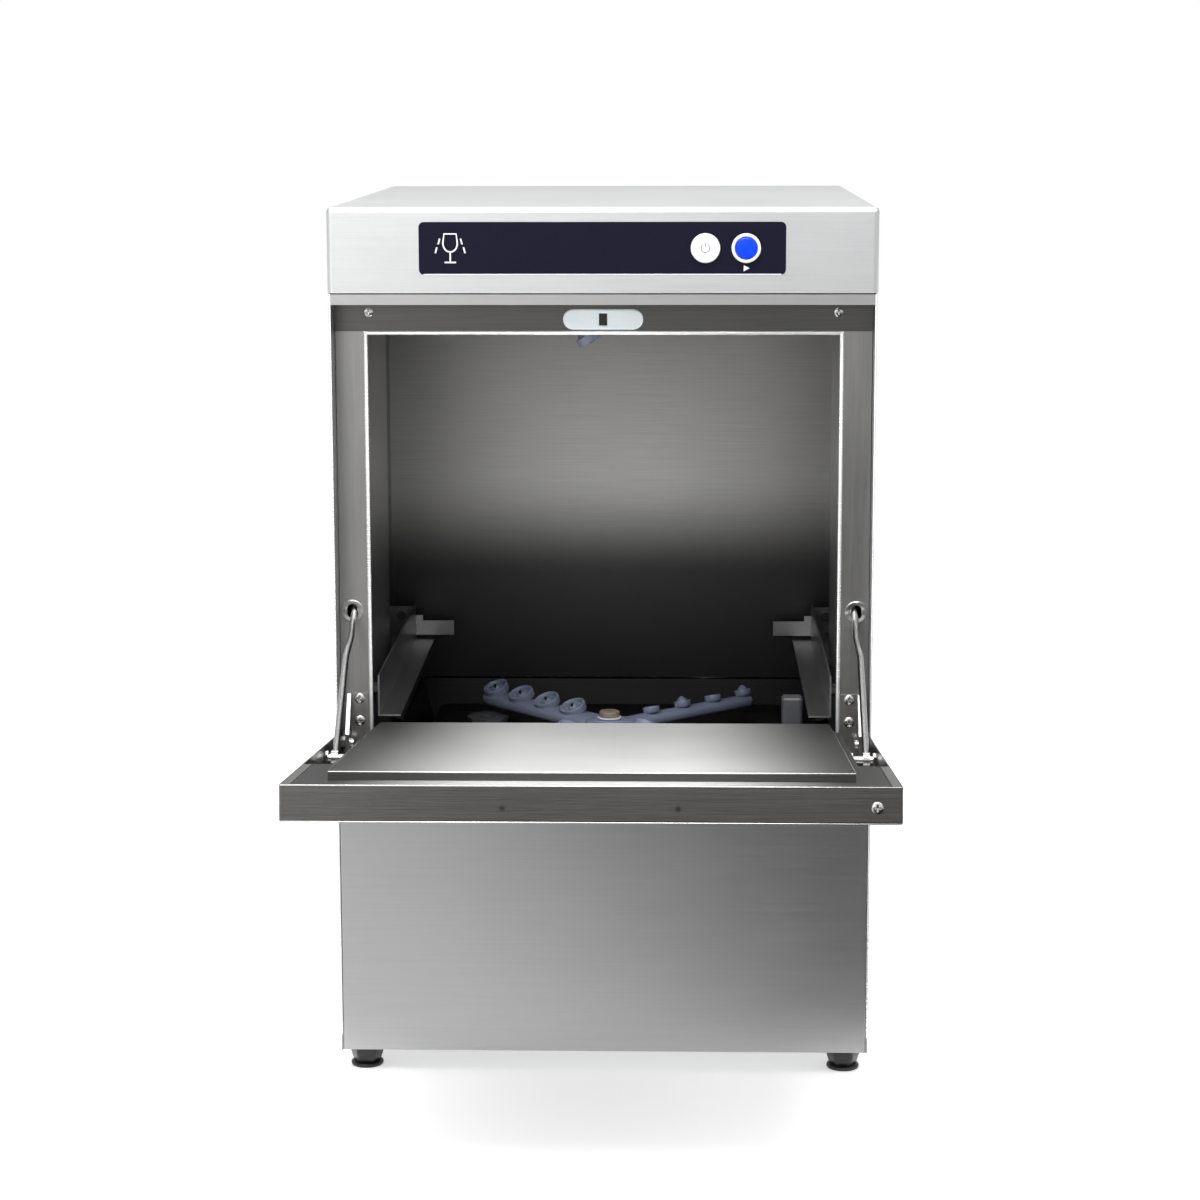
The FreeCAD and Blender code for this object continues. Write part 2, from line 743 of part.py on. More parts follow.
def make_stay_grommet():
    barrel = rod(7.8, (stay_hole_x, column_face, stay_hole_z), (stay_hole_x, column_face + 3, stay_hole_z))
    collar = rod(9.0, (stay_hole_x, column_face - 1.2, stay_hole_z), (stay_hole_x, column_face, stay_hole_z))
    slot_half = (stay_jog + 2 * stay_radius) / 2 + 0.3
    slot_rise = 5.6
    slot = box((stay_hole_x - slot_half, column_face - 3, stay_hole_z - slot_rise),
               (stay_hole_x + slot_half, column_face + 5, stay_hole_z + slot_rise))
    return fused([barrel, collar]).cut(slot)


def make_cross_screws():
    heads = []
    hinge_x = opening_half + 9.5
    side_z = foot_lift + 12
    plate_face = column_face - plate_thickness
    for side in (-1, 1):
        for z in (hinge_z + 16, hinge_z + 34):
            heads.append(screw_head(4.2, 2.0, (side * hinge_x, plate_face, z), (0, -1, 0)))
        header_seat = (side * (opening_half - 2), column_face, strip_bottom - 7.5)
        heads.append(screw_head(3.8, 1.5, header_seat, (0, -1, 0)))
        for y in (30, room_back - 30):
            heads.append(screw_head(4.0, 2.0, (side * skin_out, y, side_z), (side, 0, 0)))
        heads.append(screw_head(4.0, 2.0, (side * rear_screw_x, cabinet_depth, skirt_z + 16), (0, 1, 0)))
        heads.append(screw_head(4.0, 2.0, (side * rear_screw_x, panel_back, side_z), (0, 1, 0)))
    return group(heads)


def make_slotted_screws():
    heads = []
    for side in (-1, 1):
        for z in (rail_z + 22, rail_z + 4):
            heads.append(slot_screw(4.0, 2.2, (side * (rail_half + 13), rail_back, z), (0, -1, 0), (1, 0, 0)))
    return group(heads)


# ---- door, drawn level with its hinge axis at the origin: front at -Y, inside face up ----
def set_on_hinge(shape):
    placed = shape.copy()
    placed.rotate(Vector(0, 0, 0), Vector(-1, 0, 0), open_slope)
    placed.translate(Vector(0, hinge_y, hinge_z))
    return placed


def make_door_shell():
    low = -outer_below_axis
    shell = box((-door_half, -door_length, low), (door_half, shell_overhang, rim_above_axis))

    def is_outside(edge):
        middle = edge.CenterOfMass
        at_front = middle.y < -door_length + 0.1
        at_side = abs(middle.x) > door_half - 0.1
        at_bottom = middle.z < low + 0.1
        return (at_front and (abs(middle.x) > 1 or at_bottom)) or (at_side and at_bottom and middle.y < 0)

    shell = shell.makeFillet(edge_bend, [e for e in shell.Edges if is_outside(e)])
    hollow = box((-door_half + sheet, -door_length + sheet, low + sheet),
                 (door_half - sheet, shell_overhang - sheet, rim_above_axis + 1))
    rear_gap = box((recess_inner, shell_overhang - 2, low + sheet),
                   (door_half - sheet, shell_overhang + 1, rim_above_axis + 1))
    rear_top = box((-recess_inner - 1, shell_overhang - 2, 6),
                   (recess_inner + 1, shell_overhang + 1, rim_above_axis + 1))
    shell = shell.cut(hollow).cut(group(both_sides(rear_gap))).cut(rear_top)
    rim = box((door_half - side_return, -door_length + sheet / 2, rim_above_axis - sheet),
              (door_half - sheet / 2, -recess_start, rim_above_axis))
    return fused([shell] + both_sides(rim))


def make_door_liner():
    t = sheet / 2
    high = rim_above_axis + liner_rise
    top = high - t
    flat = rim_above_axis - t
    wing = door_half - side_return - 0.5
    wall_foot = -outer_below_axis + sheet
    lip_z = 6.0
    front_line = [(-wing, flat), (-liner_half + t, flat), (-liner_half + t, top), (liner_half - t, top),
                  (liner_half - t, flat), (wing, flat)]
    rear_line = [(-recess_inner + t, wall_foot), (-recess_inner + t, flat), (-liner_half + t, flat),
                 (-liner_half + t, top), (liner_half - t, top), (liner_half - t, flat),
                 (recess_inner - t, flat), (recess_inner - t, wall_foot)]
    front_part = folded_sheet("y", front_line, sheet, -liner_front, -recess_start)
    rear_part = folded_sheet("y", rear_line, sheet, -recess_start, shell_overhang - 2.2)
    raised = box((-liner_half, -liner_front, rim_above_axis - sheet), (liner_half, liner_overhang, high))
    raised = raised.makeFillet(1.4, [e for e in raised.Edges if e.CenterOfMass.z > high - 0.1])
    core = box((-liner_half + sheet, -liner_front + sheet, wall_foot),
               (liner_half - sheet, liner_overhang - sheet, high - sheet))
    front_margin = box((-wing, -door_length + sheet, rim_above_axis - sheet),
                       (wing, -liner_front + sheet, rim_above_axis))
    front_lap = box((-wing, -door_length + sheet, -2), (wing, -door_length + 2 * sheet, rim_above_axis))
    rear_wall = box((-liner_half, liner_overhang - sheet, lip_z),
                    (liner_half, liner_overhang, rim_above_axis + 1))
    rear_lap = box((-liner_half, shell_overhang - sheet, lip_z), (liner_half, liner_overhang, lip_z + sheet))
    step = box((-wing, -recess_start, rim_above_axis - 9),
               (-recess_inner, -recess_start + sheet, rim_above_axis))
    above = box((-liner_half - 1, -liner_front - 1, rim_above_axis),
                (liner_half + 1, liner_overhang + 1, high + 1))
    plain = fused([front_part, rear_part]).cut(above)
    liner = fused([plain, raised.cut(core), front_margin, front_lap, rear_wall, rear_lap] + both_sides(step))
    clear = box((-liner_half + sheet, -liner_front + sheet, rim_above_axis - sheet - 1),
                (liner_half - sheet, shell_overhang - 2.2, high - sheet))
    return liner.cut(clear)


def make_door_pins():
    """Hinge pins with hexagon collars, and the cross pins that carry the stays."""
    wall = door_half - sheet
    pivot = rod(hinge_pin_radius, (flange_x - 2.5, 0, 0), (wall, 0, 0))
    collar = hexagon(9.0, (flange_x + hinge_flange + 0.4, 0, 0), (wall, 0, 0))
    along = -stay_circle
    cross = rod(pin_radius, (recess_inner, along, 0), (wall, along, 0))
    nut_in = hexagon(9.0, (recess_inner, along, 0), (recess_inner + 3.5, along, 0))
    nut_out = hexagon(9.0, (wall - 2.5, along, 0), (wall, along, 0))
    return group(both_sides(fused([pivot, collar])) + both_sides(fused([cross, nut_in, nut_out])))


def make_door_screw():
    return screw_head(4.2, 1.6, (door_half - 17, -door_length, -4.5), (0, -1, 0))


def chord_direction():
    """Unit vector from the stay's pin to its hole, and their distance, with the door open."""
    pin_angle = math.pi - slope
    pin_y = hinge_y + stay_circle * math.cos(pin_angle)
    pin_z = hinge_z + stay_circle * math.sin(pin_angle)
    reach = Vector(0, stay_hole_y - pin_y, stay_hole_z - pin_z)
    return Vector(0, pin_y, pin_z), reach.Length, reach.normalize()


def make_stay():
    pin, length, along = chord_direction()

    def at(distance, x):
        return pin + along * distance + Vector(x, 0, 0)

    line = [at(4.5, stay_out_x), at(length - stay_jog_start, stay_out_x),
            at(length - stay_jog_end, stay_in_x), at(length + stay_tail, stay_in_x)]
    eye_half = 2.5
    eye = tube(6.0, pin_radius + running_clearance, (stay_out_x - eye_half, pin.y, pin.z),
               (stay_out_x + eye_half, pin.y, pin.z))
    return swept_rod(stay_radius, line).fuse(eye)


def make_stay_spring():
    """A counterbalance spring from the stay's tail to its anchor pin, drawn as its outer sleeve."""
    pin, length, along = chord_direction()
    tail = pin + along * (length + stay_tail + 3.5) + Vector(stay_in_x, 0, 0)
    anchor = Vector(stay_in_x, spring_anchor_y, spring_anchor_z)
    run = (anchor - tail).normalize()
    start = tail + run * 10
    end = anchor - run * 12
    hook = 0.8
    return fused([rod(spring_radius, tuple(start), tuple(end)),
                  rod(hook, tuple(tail + run), tuple(start + run * 2)),
                  rod(hook, tuple(end - run * 2), tuple(anchor - run * 3.6))])


# ---- spray arms ----
def arm_half(width_root, width_tip, radius, low, high, bend):
    """Half of a spray arm along +X: tapered in plan, with a round tip."""
    r = width_tip / 2
    centre = radius - r
    a = Vector(0, -width_root / 2, low)
    b = Vector(centre, -r, low)
    c = Vector(centre, r, low)
    d = Vector(0, width_root / 2, low)
    outline = Part.Wire([Part.makeLine(a, b), Part.Arc(b, Vector(radius, 0, low), c).toShape(),
                         Part.makeLine(c, d), Part.makeLine(d, a)])
    solid = Part.Face(outline).extrude(Vector(0, 0, high - low))
    middle = (low + high) / 2
    rims = [e for e in solid.Edges if abs(e.CenterOfMass.z - middle) > (high - low) / 2 - 1e-3
            and e.CenterOfMass.x > 1e-3]
    return solid.makeChamfer(bend, rims)


def place_on_hub(shapes, angle):
    return [turned(s, angle + half, 0, arm_centre_y) for s in shapes for half in (0, 180)]


def make_wash_arm():
    top = wash_arm_z + arm_thickness
    half = arm_half(33, 24, arm_radius, wash_arm_z, top, 3.2)
    arms = place_on_hub([half], wash_angle)
    hub = rod(21, (0, arm_centre_y, wash_arm_z - 1), (0, arm_centre_y, top + 1.5))
    arm = fused(arms + [hub])
    return arm.cut(rod(spindle_radius + running_clearance, (0, arm_centre_y, wash_arm_z - 3),
                       (0, arm_centre_y, top + 4)))


def make_wash_jets():
    base = wash_arm_z + arm_thickness
    top = base + jet_height
    spots = []
    for k in range(jet_count):
        x = min(jet_first + jet_pitch * k, arm_radius - jet_radius - 2)
        cap = rod(jet_radius, (x, 0, base), (x, 0, top))
        spots.append(cap.cut(box((x - 2, -8, top - 3.5), (x + 2, 8, top + 1))))
    return group(place_on_hub(spots, wash_angle))


def nozzle(x, seat, height, radius):
    """A hexagon jet with a fan slot across its end; a negative height points it down."""
    jet = hexagon(radius * 1.7, (x, 0, seat), (x, 0, seat + height))
    cut_low, cut_high = sorted((seat + height * 0.6, seat + height * 1.2))
    return jet.cut(box((x - radius - 1, -1, cut_low), (x + radius + 1, 1, cut_high)))


def make_rinse_arm_lower():
    low = wash_arm_z + 0.5
    top = low + arm_thickness - 1
    spots = [arm_half(20, 14, arm_radius, low, top, 3.0).cut(rod(21, (0, 0, low - 2), (0, 0, top + 2)))]
    for k in range(jet_count):
        x = min(nozzle_first + nozzle_pitch * k, arm_radius - nozzle_radius - 1)
        spots.append(nozzle(x, top - 0.2, nozzle_height, nozzle_radius))
    return group(place_on_hub([fused(spots)], rinse_angle))


def make_rinse_arm_upper():
    low = upper_arm_z
    top = low + arm_thickness - 2
    spots = [arm_half(20, 14, upper_arm_radius, low, top, 3.0)]
    for k in range(jet_count):
        x = min(nozzle_first - 12 + nozzle_pitch * k, upper_arm_radius - nozzle_radius - 1)
        spots.append(nozzle(x, low + 0.2, -9.0, nozzle_radius))
    hub = rod(16, (0, arm_centre_y, low - 2), (0, arm_centre_y, top + 1))
    bore = rod(spindle_radius + running_clearance, (0, arm_centre_y, low - 4), (0, arm_centre_y, top + 6))
    return fused(place_on_hub(spots, upper_angle) + [hub]).cut(bore)


def make_upper_spindle():
    spindle = rod(spindle_radius, (0, arm_centre_y, upper_arm_z - 3), (0, arm_centre_y, ceiling_z + 8))
    nut = hexagon(22.0, (0, arm_centre_y, upper_arm_z - 6), (0, arm_centre_y, upper_arm_z - 2.4))
    collar = hexagon(25.0, (0, arm_centre_y, upper_arm_z + 11.6), (0, arm_centre_y, ceiling_z))
    return fused([spindle, nut, collar])


def make_wash_manifold():
    y = arm_centre_y
    foot_half = 22.0
    pillar = rod(riser_radius, (0, y, tank_floor_z - 22), (0, y, wash_arm_z - 1.4))
    foot = box((-foot_half, y - foot_half, tank_floor_z + sheet),
               (foot_half, y + foot_half, tank_floor_z + 6))
    spindle = rod(spindle_radius, (0, y, wash_arm_z - 2), (0, y, wash_arm_z + arm_thickness + 6))
    return fused([pillar, foot, spindle])


def make_rotor_nut():
    y = arm_centre_y
    low = wash_arm_z + arm_thickness + 1.8
    washer_top = low + 1.4
    washer = rod(10.5, (0, y, low), (0, y, washer_top))
    nut = sided_bar(10, 17.4, (0, y, washer_top), (0, y, low + 6.4))
    bore = rod(spindle_radius, (0, y, low - 1), (0, y, wash_arm_z + arm_thickness + 6))
    return fused([washer, nut]).cut(bore)


# ---- machine room ----
def make_volute():
    y, z = pump_y, pump_axis_z
    case = rod(volute_radius, (-volute_half, y, z), (volute_half, y, z))
    outlet = rod(hose_radius, (0, arm_centre_y, z), (0, arm_centre_y, z + volute_radius + 8))
    inlet = rod(hose_radius, (volute_half, y, z), (volute_half + 14, y, z))
    wall = 4.0
    room = volute_half - wall
    case = fused([case, outlet, inlet]).cut(rod(volute_radius - wall, (-room, y, z), (room, y, z)))
    return case.cut(rod(shaft_radius + 0.4, (-volute_half - 1, y, z), (-room + 1, y, z)))


def make_impeller():
    y, z = pump_y, pump_axis_z
    low = -volute_half
    disc = rod(volute_radius - 10, (low + 6, y, z), (low + 9, y, z))
    hub = rod(8, (low + 6, y, z), (volute_half - 8, y, z))
    shaft = rod(shaft_radius, (low - 7, y, z), (low + 7, y, z))
    vanes = []
    for k in range(6):
        vane = box((low + 8, y + 6, z - 1), (volute_half - 9, y + volute_radius - 11, z + 1))
        vane.rotate(Vector(0, y, z), Vector(1, 0, 0), 60 * k)
        vanes.append(vane)
    return fused([disc, hub, shaft] + vanes)


def make_motor():
    y, z = pump_y, pump_axis_z
    end = -volute_half
    flange_run = 8.0
    body = rod(motor_radius, (end - motor_length, y, z), (end - flange_run, y, z))
    flange = rod(volute_radius, (end - flange_run, y, z), (end, y, z))
    parts = [body, flange]
    foot_front, foot_back = end - motor_length + 6, end - 14
    for foot_y in (y - 26, y + 14):
        parts.append(box((foot_front, foot_y, foot_lift + sheet), (foot_back, foot_y + 12, z - 10)))
    terminal_z = z + motor_radius
    parts.append(box((end - 70, y - 20, terminal_z - 6), (end - 26, y + 20, terminal_z + 14)))
    return fused(parts).cut(rod(shaft_radius + running_clearance, (end - 7.6, y, z), (end + 1, y, z)))


def make_pump_hoses():
    outer = hose_radius + hose_wall
    z = pump_axis_z
    floor_z = tank_floor_z
    inlet_end = volute_half + 14
    suction = hose(outer, [(volute_half + 3, pump_y, z), (suction_x, pump_y, z),
                           (suction_x, pump_y, floor_z - 2)], 24)
    suction = suction.cut(rod(hose_radius, (volute_half, pump_y, z), (inlet_end, pump_y, z)))
    suction = suction.cut(rod(hose_radius, (suction_x, pump_y, floor_z - 13), (suction_x, pump_y, floor_z)))
    riser_low = z + volute_radius + 0.5
    riser = tube(outer + 1, riser_radius + running_clearance, (0, arm_centre_y, riser_low),
                 (0, arm_centre_y, floor_z - 12.2))
    return group([suction, riser])


def make_drain_pipe():
    pipe = hose(drain_radius, [(drain_x, drain_y, tank_floor_z - 12), (drain_x, drain_y, drain_z),
                               (drain_x, back_reach, drain_z)], 24)
    collar = rod(drain_radius + 3, (drain_x, room_back - 4, drain_z), (drain_x, room_back, drain_z))
    spigot_depth = 60.0
    bore = rod(drain_radius - 2, (drain_x, back_reach - spigot_depth, drain_z),
               (drain_x, back_reach + 1, drain_z))
    return fused([pipe, collar]).cut(bore)


def make_inlet_valve():
    x, z = inlet_x, inlet_z
    flange_front = room_back - 4
    thread = rod(inlet_radius, (x, flange_front, z), (x, back_reach, z))
    bore = rod(9.0, (x, flange_front + 2, z), (x, back_reach + 1, z))
    flange = box((x - 17, flange_front, z - 17), (x + 17, room_back, z + 17))
    body = box((x - 13, room_back - 44, z - 13), (x + 13, flange_front, z + 13))
    coil = box((x - 15, room_back - 40, z + 13), (x + 15, room_back - 10, z + 50))
    return fused([thread, flange, body, coil]).cut(bore)


def make_cable_gland():
    x, z = gland_x, inlet_z
    nut_run = 6.0
    barrel = rod(gland_radius, (x, room_back - 8, z), (x, panel_back + 15, z))
    nut_out = hexagon(20, (x, panel_back, z), (x, panel_back + nut_run, z))
    nut_in = hexagon(20, (x, room_back - nut_run, z), (x, room_back, z))
    bore = rod(gland_bore, (x, room_back - 10, z), (x, back_reach + 5, z))
    return fused([barrel, nut_out, nut_in]).cut(bore)


def make_boiler():
    x, y = boiler_x, boiler_y
    top = boiler_z + boiler_height
    shell = rod(boiler_radius, (x, y, boiler_z), (x, y, top))
    neck = rod(22, (x, y, boiler_z - 8), (x, y, boiler_z + 3))
    head = rod(rinse_pipe_radius + 3, (x, y, top - 3), (x, y, top + 8))
    strap_half, strap_height = 30.0, 18.0
    straps = [box((x - strap_half, y - 3, boiler_z + z),
                  (x + strap_half, room_back, boiler_z + z + strap_height)) for z in (60, 170)]
    return fused([shell, neck, head] + straps)


def make_tank_heater():
    y = chamber_back - 75
    z = tank_floor_z + 16
    left, right, width = -52.0, 70.0, 34.0
    flange_x_low = left - 8
    loop = hose(heater_radius, [(left, y, z), (right, y, z), (right, y - width, z), (left, y - width, z)], 14)
    flange = box((flange_x_low, y - width - 10, z - 12), (left, y + 10, z + 12))
    stem = box((flange_x_low, y - 30, tank_floor_z + sheet), (left, y - 4, z - 10))
    return fused([loop, flange, stem])


def make_dosing_pump():
    x = dosing_x
    half, low, high = 22.0, 70.0, 130.0
    body = rounded_block((x - half, 26, low), (x + half, 66, high), 3, Vector(0, 0, 1))
    head = rod(19, (x, 16, (low + high) / 2), (x, 26, (low + high) / 2))
    foot = box((x - half, 30, foot_lift + sheet), (x + half, 62, low))
    return fused([body, head, foot])


def make_rinse_pipe():
    x, y = boiler_x, boiler_y
    bend = 16.0
    top = ceiling_z + 26
    upper = hose(rinse_pipe_radius, [(x, y, boiler_z + boiler_height + 8), (x, y, top),
                                     (0, arm_centre_y, top), (0, arm_centre_y, ceiling_z + 8)], bend)
    low = tank_floor_z - 20
    aim = Vector(x, y - arm_centre_y, 0).normalize() * (hose_radius + hose_wall + 1.1)
    lower = hose(rinse_pipe_radius, [(x, y, boiler_z - 8), (x, y, low),
                                     (aim.x, arm_centre_y + aim.y, low)], bend)
    return group([upper, lower])


def make_all():
    pieces["base_tray"] = make_base_tray()
    side = make_side_panel()
    pieces["side_panel_right"] = side
    pieces["side_panel_left"] = mirrored(side)
    pieces["rear_panel"] = make_rear_panel()
    pieces["lower_front_panel"] = make_lower_front_panel()
    pieces["top_cover"] = make_top_cover()
    pieces["control_overlay"] = make_control_overlay()
    pieces["button_housings"] = group([make_button_housing(power_x), make_button_housing(start_x)])
    pieces["power_button"] = make_button(power_x, False)
    pieces["start_button"] = make_button(start_x, True)
    pieces["start_lens"] = make_start_lens()
    pieces["control_board"] = make_control_board()
    column = make_column()
    pieces["column_right"] = column
    pieces["column_left"] = mirrored(column)
    pieces["door_header"] = make_door_header()
    pieces["opening_lip"] = make_opening_lip()
    pieces["latch_cover"], pieces["door_sensor"] = make_latch_cover()
    pieces["chamber_sides"] = group(both_sides(make_chamber_side()))
    pieces["chamber_back"] = make_chamber_back()
    pieces["chamber_ceiling"] = make_chamber_ceiling()
    pieces["tank"] = make_tank()
    pieces["tank_strainer"] = make_tank_strainer()
    pieces["overflow_pipe"] = make_overflow_pipe()
    pieces["air_trap"] = make_air_trap()
    pieces["rack_rails"] = group(both_sides(make_rack_rail()))
    pieces["rack_stops"] = group(both_sides(make_rack_stop()))
    pieces["hinge_plates"] = group(both_sides(make_hinge_plate()))
    pieces["cross_screws"] = make_cross_screws()
    pieces["slotted_screws"] = make_slotted_screws()
    pieces["stay_grommets"] = group(both_sides(make_stay_grommet()))
    pieces["stay_springs"] = group(both_sides(make_stay_spring()))
    foot = make_foot()
    for name, (x, y) in foot_places().items():
        pieces["foot_" + name] = turned(foot, 0, x, y)
    pieces["door_shell"] = set_on_hinge(make_door_shell())
    pieces["door_liner"] = set_on_hinge(make_door_liner())
    pieces["door_pins"] = set_on_hinge(make_door_pins())
    pieces["door_screw"] = set_on_hinge(make_door_screw())
    stay = make_stay()
    pieces["stay_right"] = stay
    pieces["stay_left"] = mirrored(stay)
    pieces["wash_manifold"] = make_wash_manifold()
    pieces["wash_arm"] = make_wash_arm()
    pieces["wash_jets"] = make_wash_jets()
    pieces["rinse_arm_lower"] = make_rinse_arm_lower()
    pieces["rotor_nut"] = make_rotor_nut()
    pieces["rinse_arm_upper"] = make_rinse_arm_upper()
    pieces["upper_spindle"] = make_upper_spindle()
    pieces["wash_pump_volute"] = make_volute()
    pieces["pump_impeller"] = make_impeller()
    pieces["wash_pump_motor"] = make_motor()
    pieces["pump_hoses"] = make_pump_hoses()
    pieces["drain_pipe"] = make_drain_pipe()
    pieces["inlet_valve"] = make_inlet_valve()
    pieces["cable_gland"] = make_cable_gland()
    pieces["boiler"] = make_boiler()
    pieces["tank_heater"] = make_tank_heater()
    pieces["dosing_pump"] = make_dosing_pump()
    pieces["rinse_pipe"] = make_rinse_pipe()


make_all()
os.makedirs("parts", exist_ok=True)
for name, shape in pieces.items():
    placed = shape.copy()
    placed.translate(Vector(0, row_shift, 0))
    placed.exportStep(os.path.join("parts", name + ".step"))
print(len(pieces), "pieces; row shift", round(row_shift, 4))
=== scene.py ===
# Undercounter glass washer with its door down: finishes, fine pieces, light and camera
import json
import math

import bmesh
import bpy
from mathutils import Matrix, Vector

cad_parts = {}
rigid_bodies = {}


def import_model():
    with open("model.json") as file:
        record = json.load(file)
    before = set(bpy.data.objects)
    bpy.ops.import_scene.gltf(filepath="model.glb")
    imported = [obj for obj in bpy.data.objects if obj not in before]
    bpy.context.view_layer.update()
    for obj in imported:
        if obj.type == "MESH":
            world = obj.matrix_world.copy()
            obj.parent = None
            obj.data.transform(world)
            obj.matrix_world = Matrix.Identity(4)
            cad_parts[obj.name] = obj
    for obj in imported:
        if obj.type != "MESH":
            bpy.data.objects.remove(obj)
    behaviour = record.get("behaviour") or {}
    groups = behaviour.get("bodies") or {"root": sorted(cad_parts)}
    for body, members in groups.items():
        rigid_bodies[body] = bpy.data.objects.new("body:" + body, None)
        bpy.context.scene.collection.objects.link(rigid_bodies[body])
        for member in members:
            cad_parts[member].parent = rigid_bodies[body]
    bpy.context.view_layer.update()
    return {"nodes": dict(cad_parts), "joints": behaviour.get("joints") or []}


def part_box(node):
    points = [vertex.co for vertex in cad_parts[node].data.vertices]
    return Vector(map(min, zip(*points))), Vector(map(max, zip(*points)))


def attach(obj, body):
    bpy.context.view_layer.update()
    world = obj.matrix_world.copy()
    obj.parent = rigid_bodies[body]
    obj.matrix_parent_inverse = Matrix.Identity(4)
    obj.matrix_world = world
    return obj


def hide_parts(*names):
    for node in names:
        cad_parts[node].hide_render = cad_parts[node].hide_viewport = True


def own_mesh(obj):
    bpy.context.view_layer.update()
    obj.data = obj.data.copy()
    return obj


for leftover in list(bpy.data.objects):
    bpy.data.objects.remove(leftover)
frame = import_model()
mm = 0.001
up = Vector((0, 0, 1))
forward = Vector((0, -1, 0))
print("frame loaded:", len(frame["nodes"]), "nodes")


def linear(hexCode):
    parts = [int(hexCode[i:i + 2], 16) / 255 for i in (1, 3, 5)]
    return [c / 12.92 if c <= 0.04045 else ((c + 0.055) / 1.055) ** 2.4 for c in parts] + [1.0]


def fillSockets(tree, node, sockets):
    # a value that is itself a socket is linked, any other is set on the node
    for name, value in sockets.items():
        if isinstance(value, bpy.types.NodeSocket):
            tree.links.new(value, node.inputs[name])
        else:
            node.inputs[name].default_value = value


def addNode(tree, kind, settings=None, sockets=None):
    node = tree.nodes.new(kind)
    for name, value in (settings or {}).items():
        setattr(node, name, value)
    fillSockets(tree, node, sockets or {})
    return node


def startFinish(name):
    finish = bpy.data.materials.new(name)
    finish.use_nodes = True
    tree = finish.node_tree
    return finish, tree, tree.nodes["Principled BSDF"], addNode(tree, "ShaderNodeTexCoord")


def mixTones(tree, factor, first, second):
    mix = addNode(tree, "ShaderNodeMix", {"data_type": "RGBA"}, {0: factor, 6: first, 7: second})
    return mix.outputs[2]


# Stainless steel sheet, belt ground: long fine scratches one way, which stretch highlights across them.
# The belt leaves lines about 0.1 mm apart. Here they are 0.9 mm apart, so that they still show.
# A haze of fine cross scratches on the lip and the door's liner scatters light: they are less metallic. Their
# near-white tones are painted highlight.
steelLooks = {
    "brushed_steel": {"name": "groundSteelCover", "dark": "#D6D7D8", "light": "#DFE0E0",
                      "along": "x", "rough": (0.34, 0.42), "scratch": 0.25},
    "side_steel": {"name": "groundSteelSides", "dark": "#A2A3A4", "light": "#BCBDBD",
                   "along": "y", "rough": (0.34, 0.42), "scratch": 0.35},
    "front_steel": {"name": "groundSteelLowerFront", "dark": "#B4B4B5", "light": "#BEBEBE",
                    "along": "x", "rough": (0.34, 0.42), "scratch": 0.30},
    "frame_steel": {"name": "groundSteelFrame", "dark": "#9A9998", "light": "#ABAAA9",
                    "along": "z", "rough": (0.26, 0.36), "scratch": 0.25},
    # the chamber's sheet gets a far darker tone than the steel outside it: painted shade inside the chamber
    "chamber_steel": {"name": "millSteelChamber", "dark": "#5C5C5C", "light": "#6C6C6C",
                      "along": "sheet", "rough": (0.34, 0.44), "scratch": 0.2},
    # near-white and part diffuse: painted highlight along the lip and the panel edges
    "polished_edge": {"name": "polishedSteelLip", "dark": "#F4F4F4", "light": "#FFFFFF",
                      "along": "sheet", "rough": (0.22, 0.30), "scratch": 0.1, "metallic": 0.55},
    # the door shell gets a far darker tone than the same ground steel on the cover: painted shade
    "door_steel": {"name": "groundSteelDoorShell", "dark": "#62605E", "light": "#767471",
                   "along": "x", "rough": (0.26, 0.36), "scratch": 0.35},
    # the liner's near-white tone is painted highlight
    "liner_steel": {"name": "groundSteelDoorLiner", "dark": "#E6E6E5", "light": "#F4F4F3",
                    "along": "x", "rough": (0.46, 0.54), "scratch": 0.9, "metallic": 0.78},
    "rail_steel": {"name": "foldedSteelRails", "dark": "#8E8E8E", "light": "#A2A2A2",
                   "along": "y", "rough": (0.28, 0.38), "scratch": 0.2},
    "bright_steel": {"name": "drawnSteelRod", "dark": "#B4B4B4", "light": "#DADADA",
                     "along": "z", "rough": (0.16, 0.28), "scratch": 0.1},
    "boiler_steel": {"name": "pickledSteelBoiler", "dark": "#9C9994", "light": "#B6B3AD",
                     "along": "sheet", "rough": (0.36, 0.5), "scratch": 0.2},
}
slowWays = {"x": (1, 0, 0), "y": (0, 1, 0), "z": (0, 0, 1), "sheet": (1, 1, 0)}


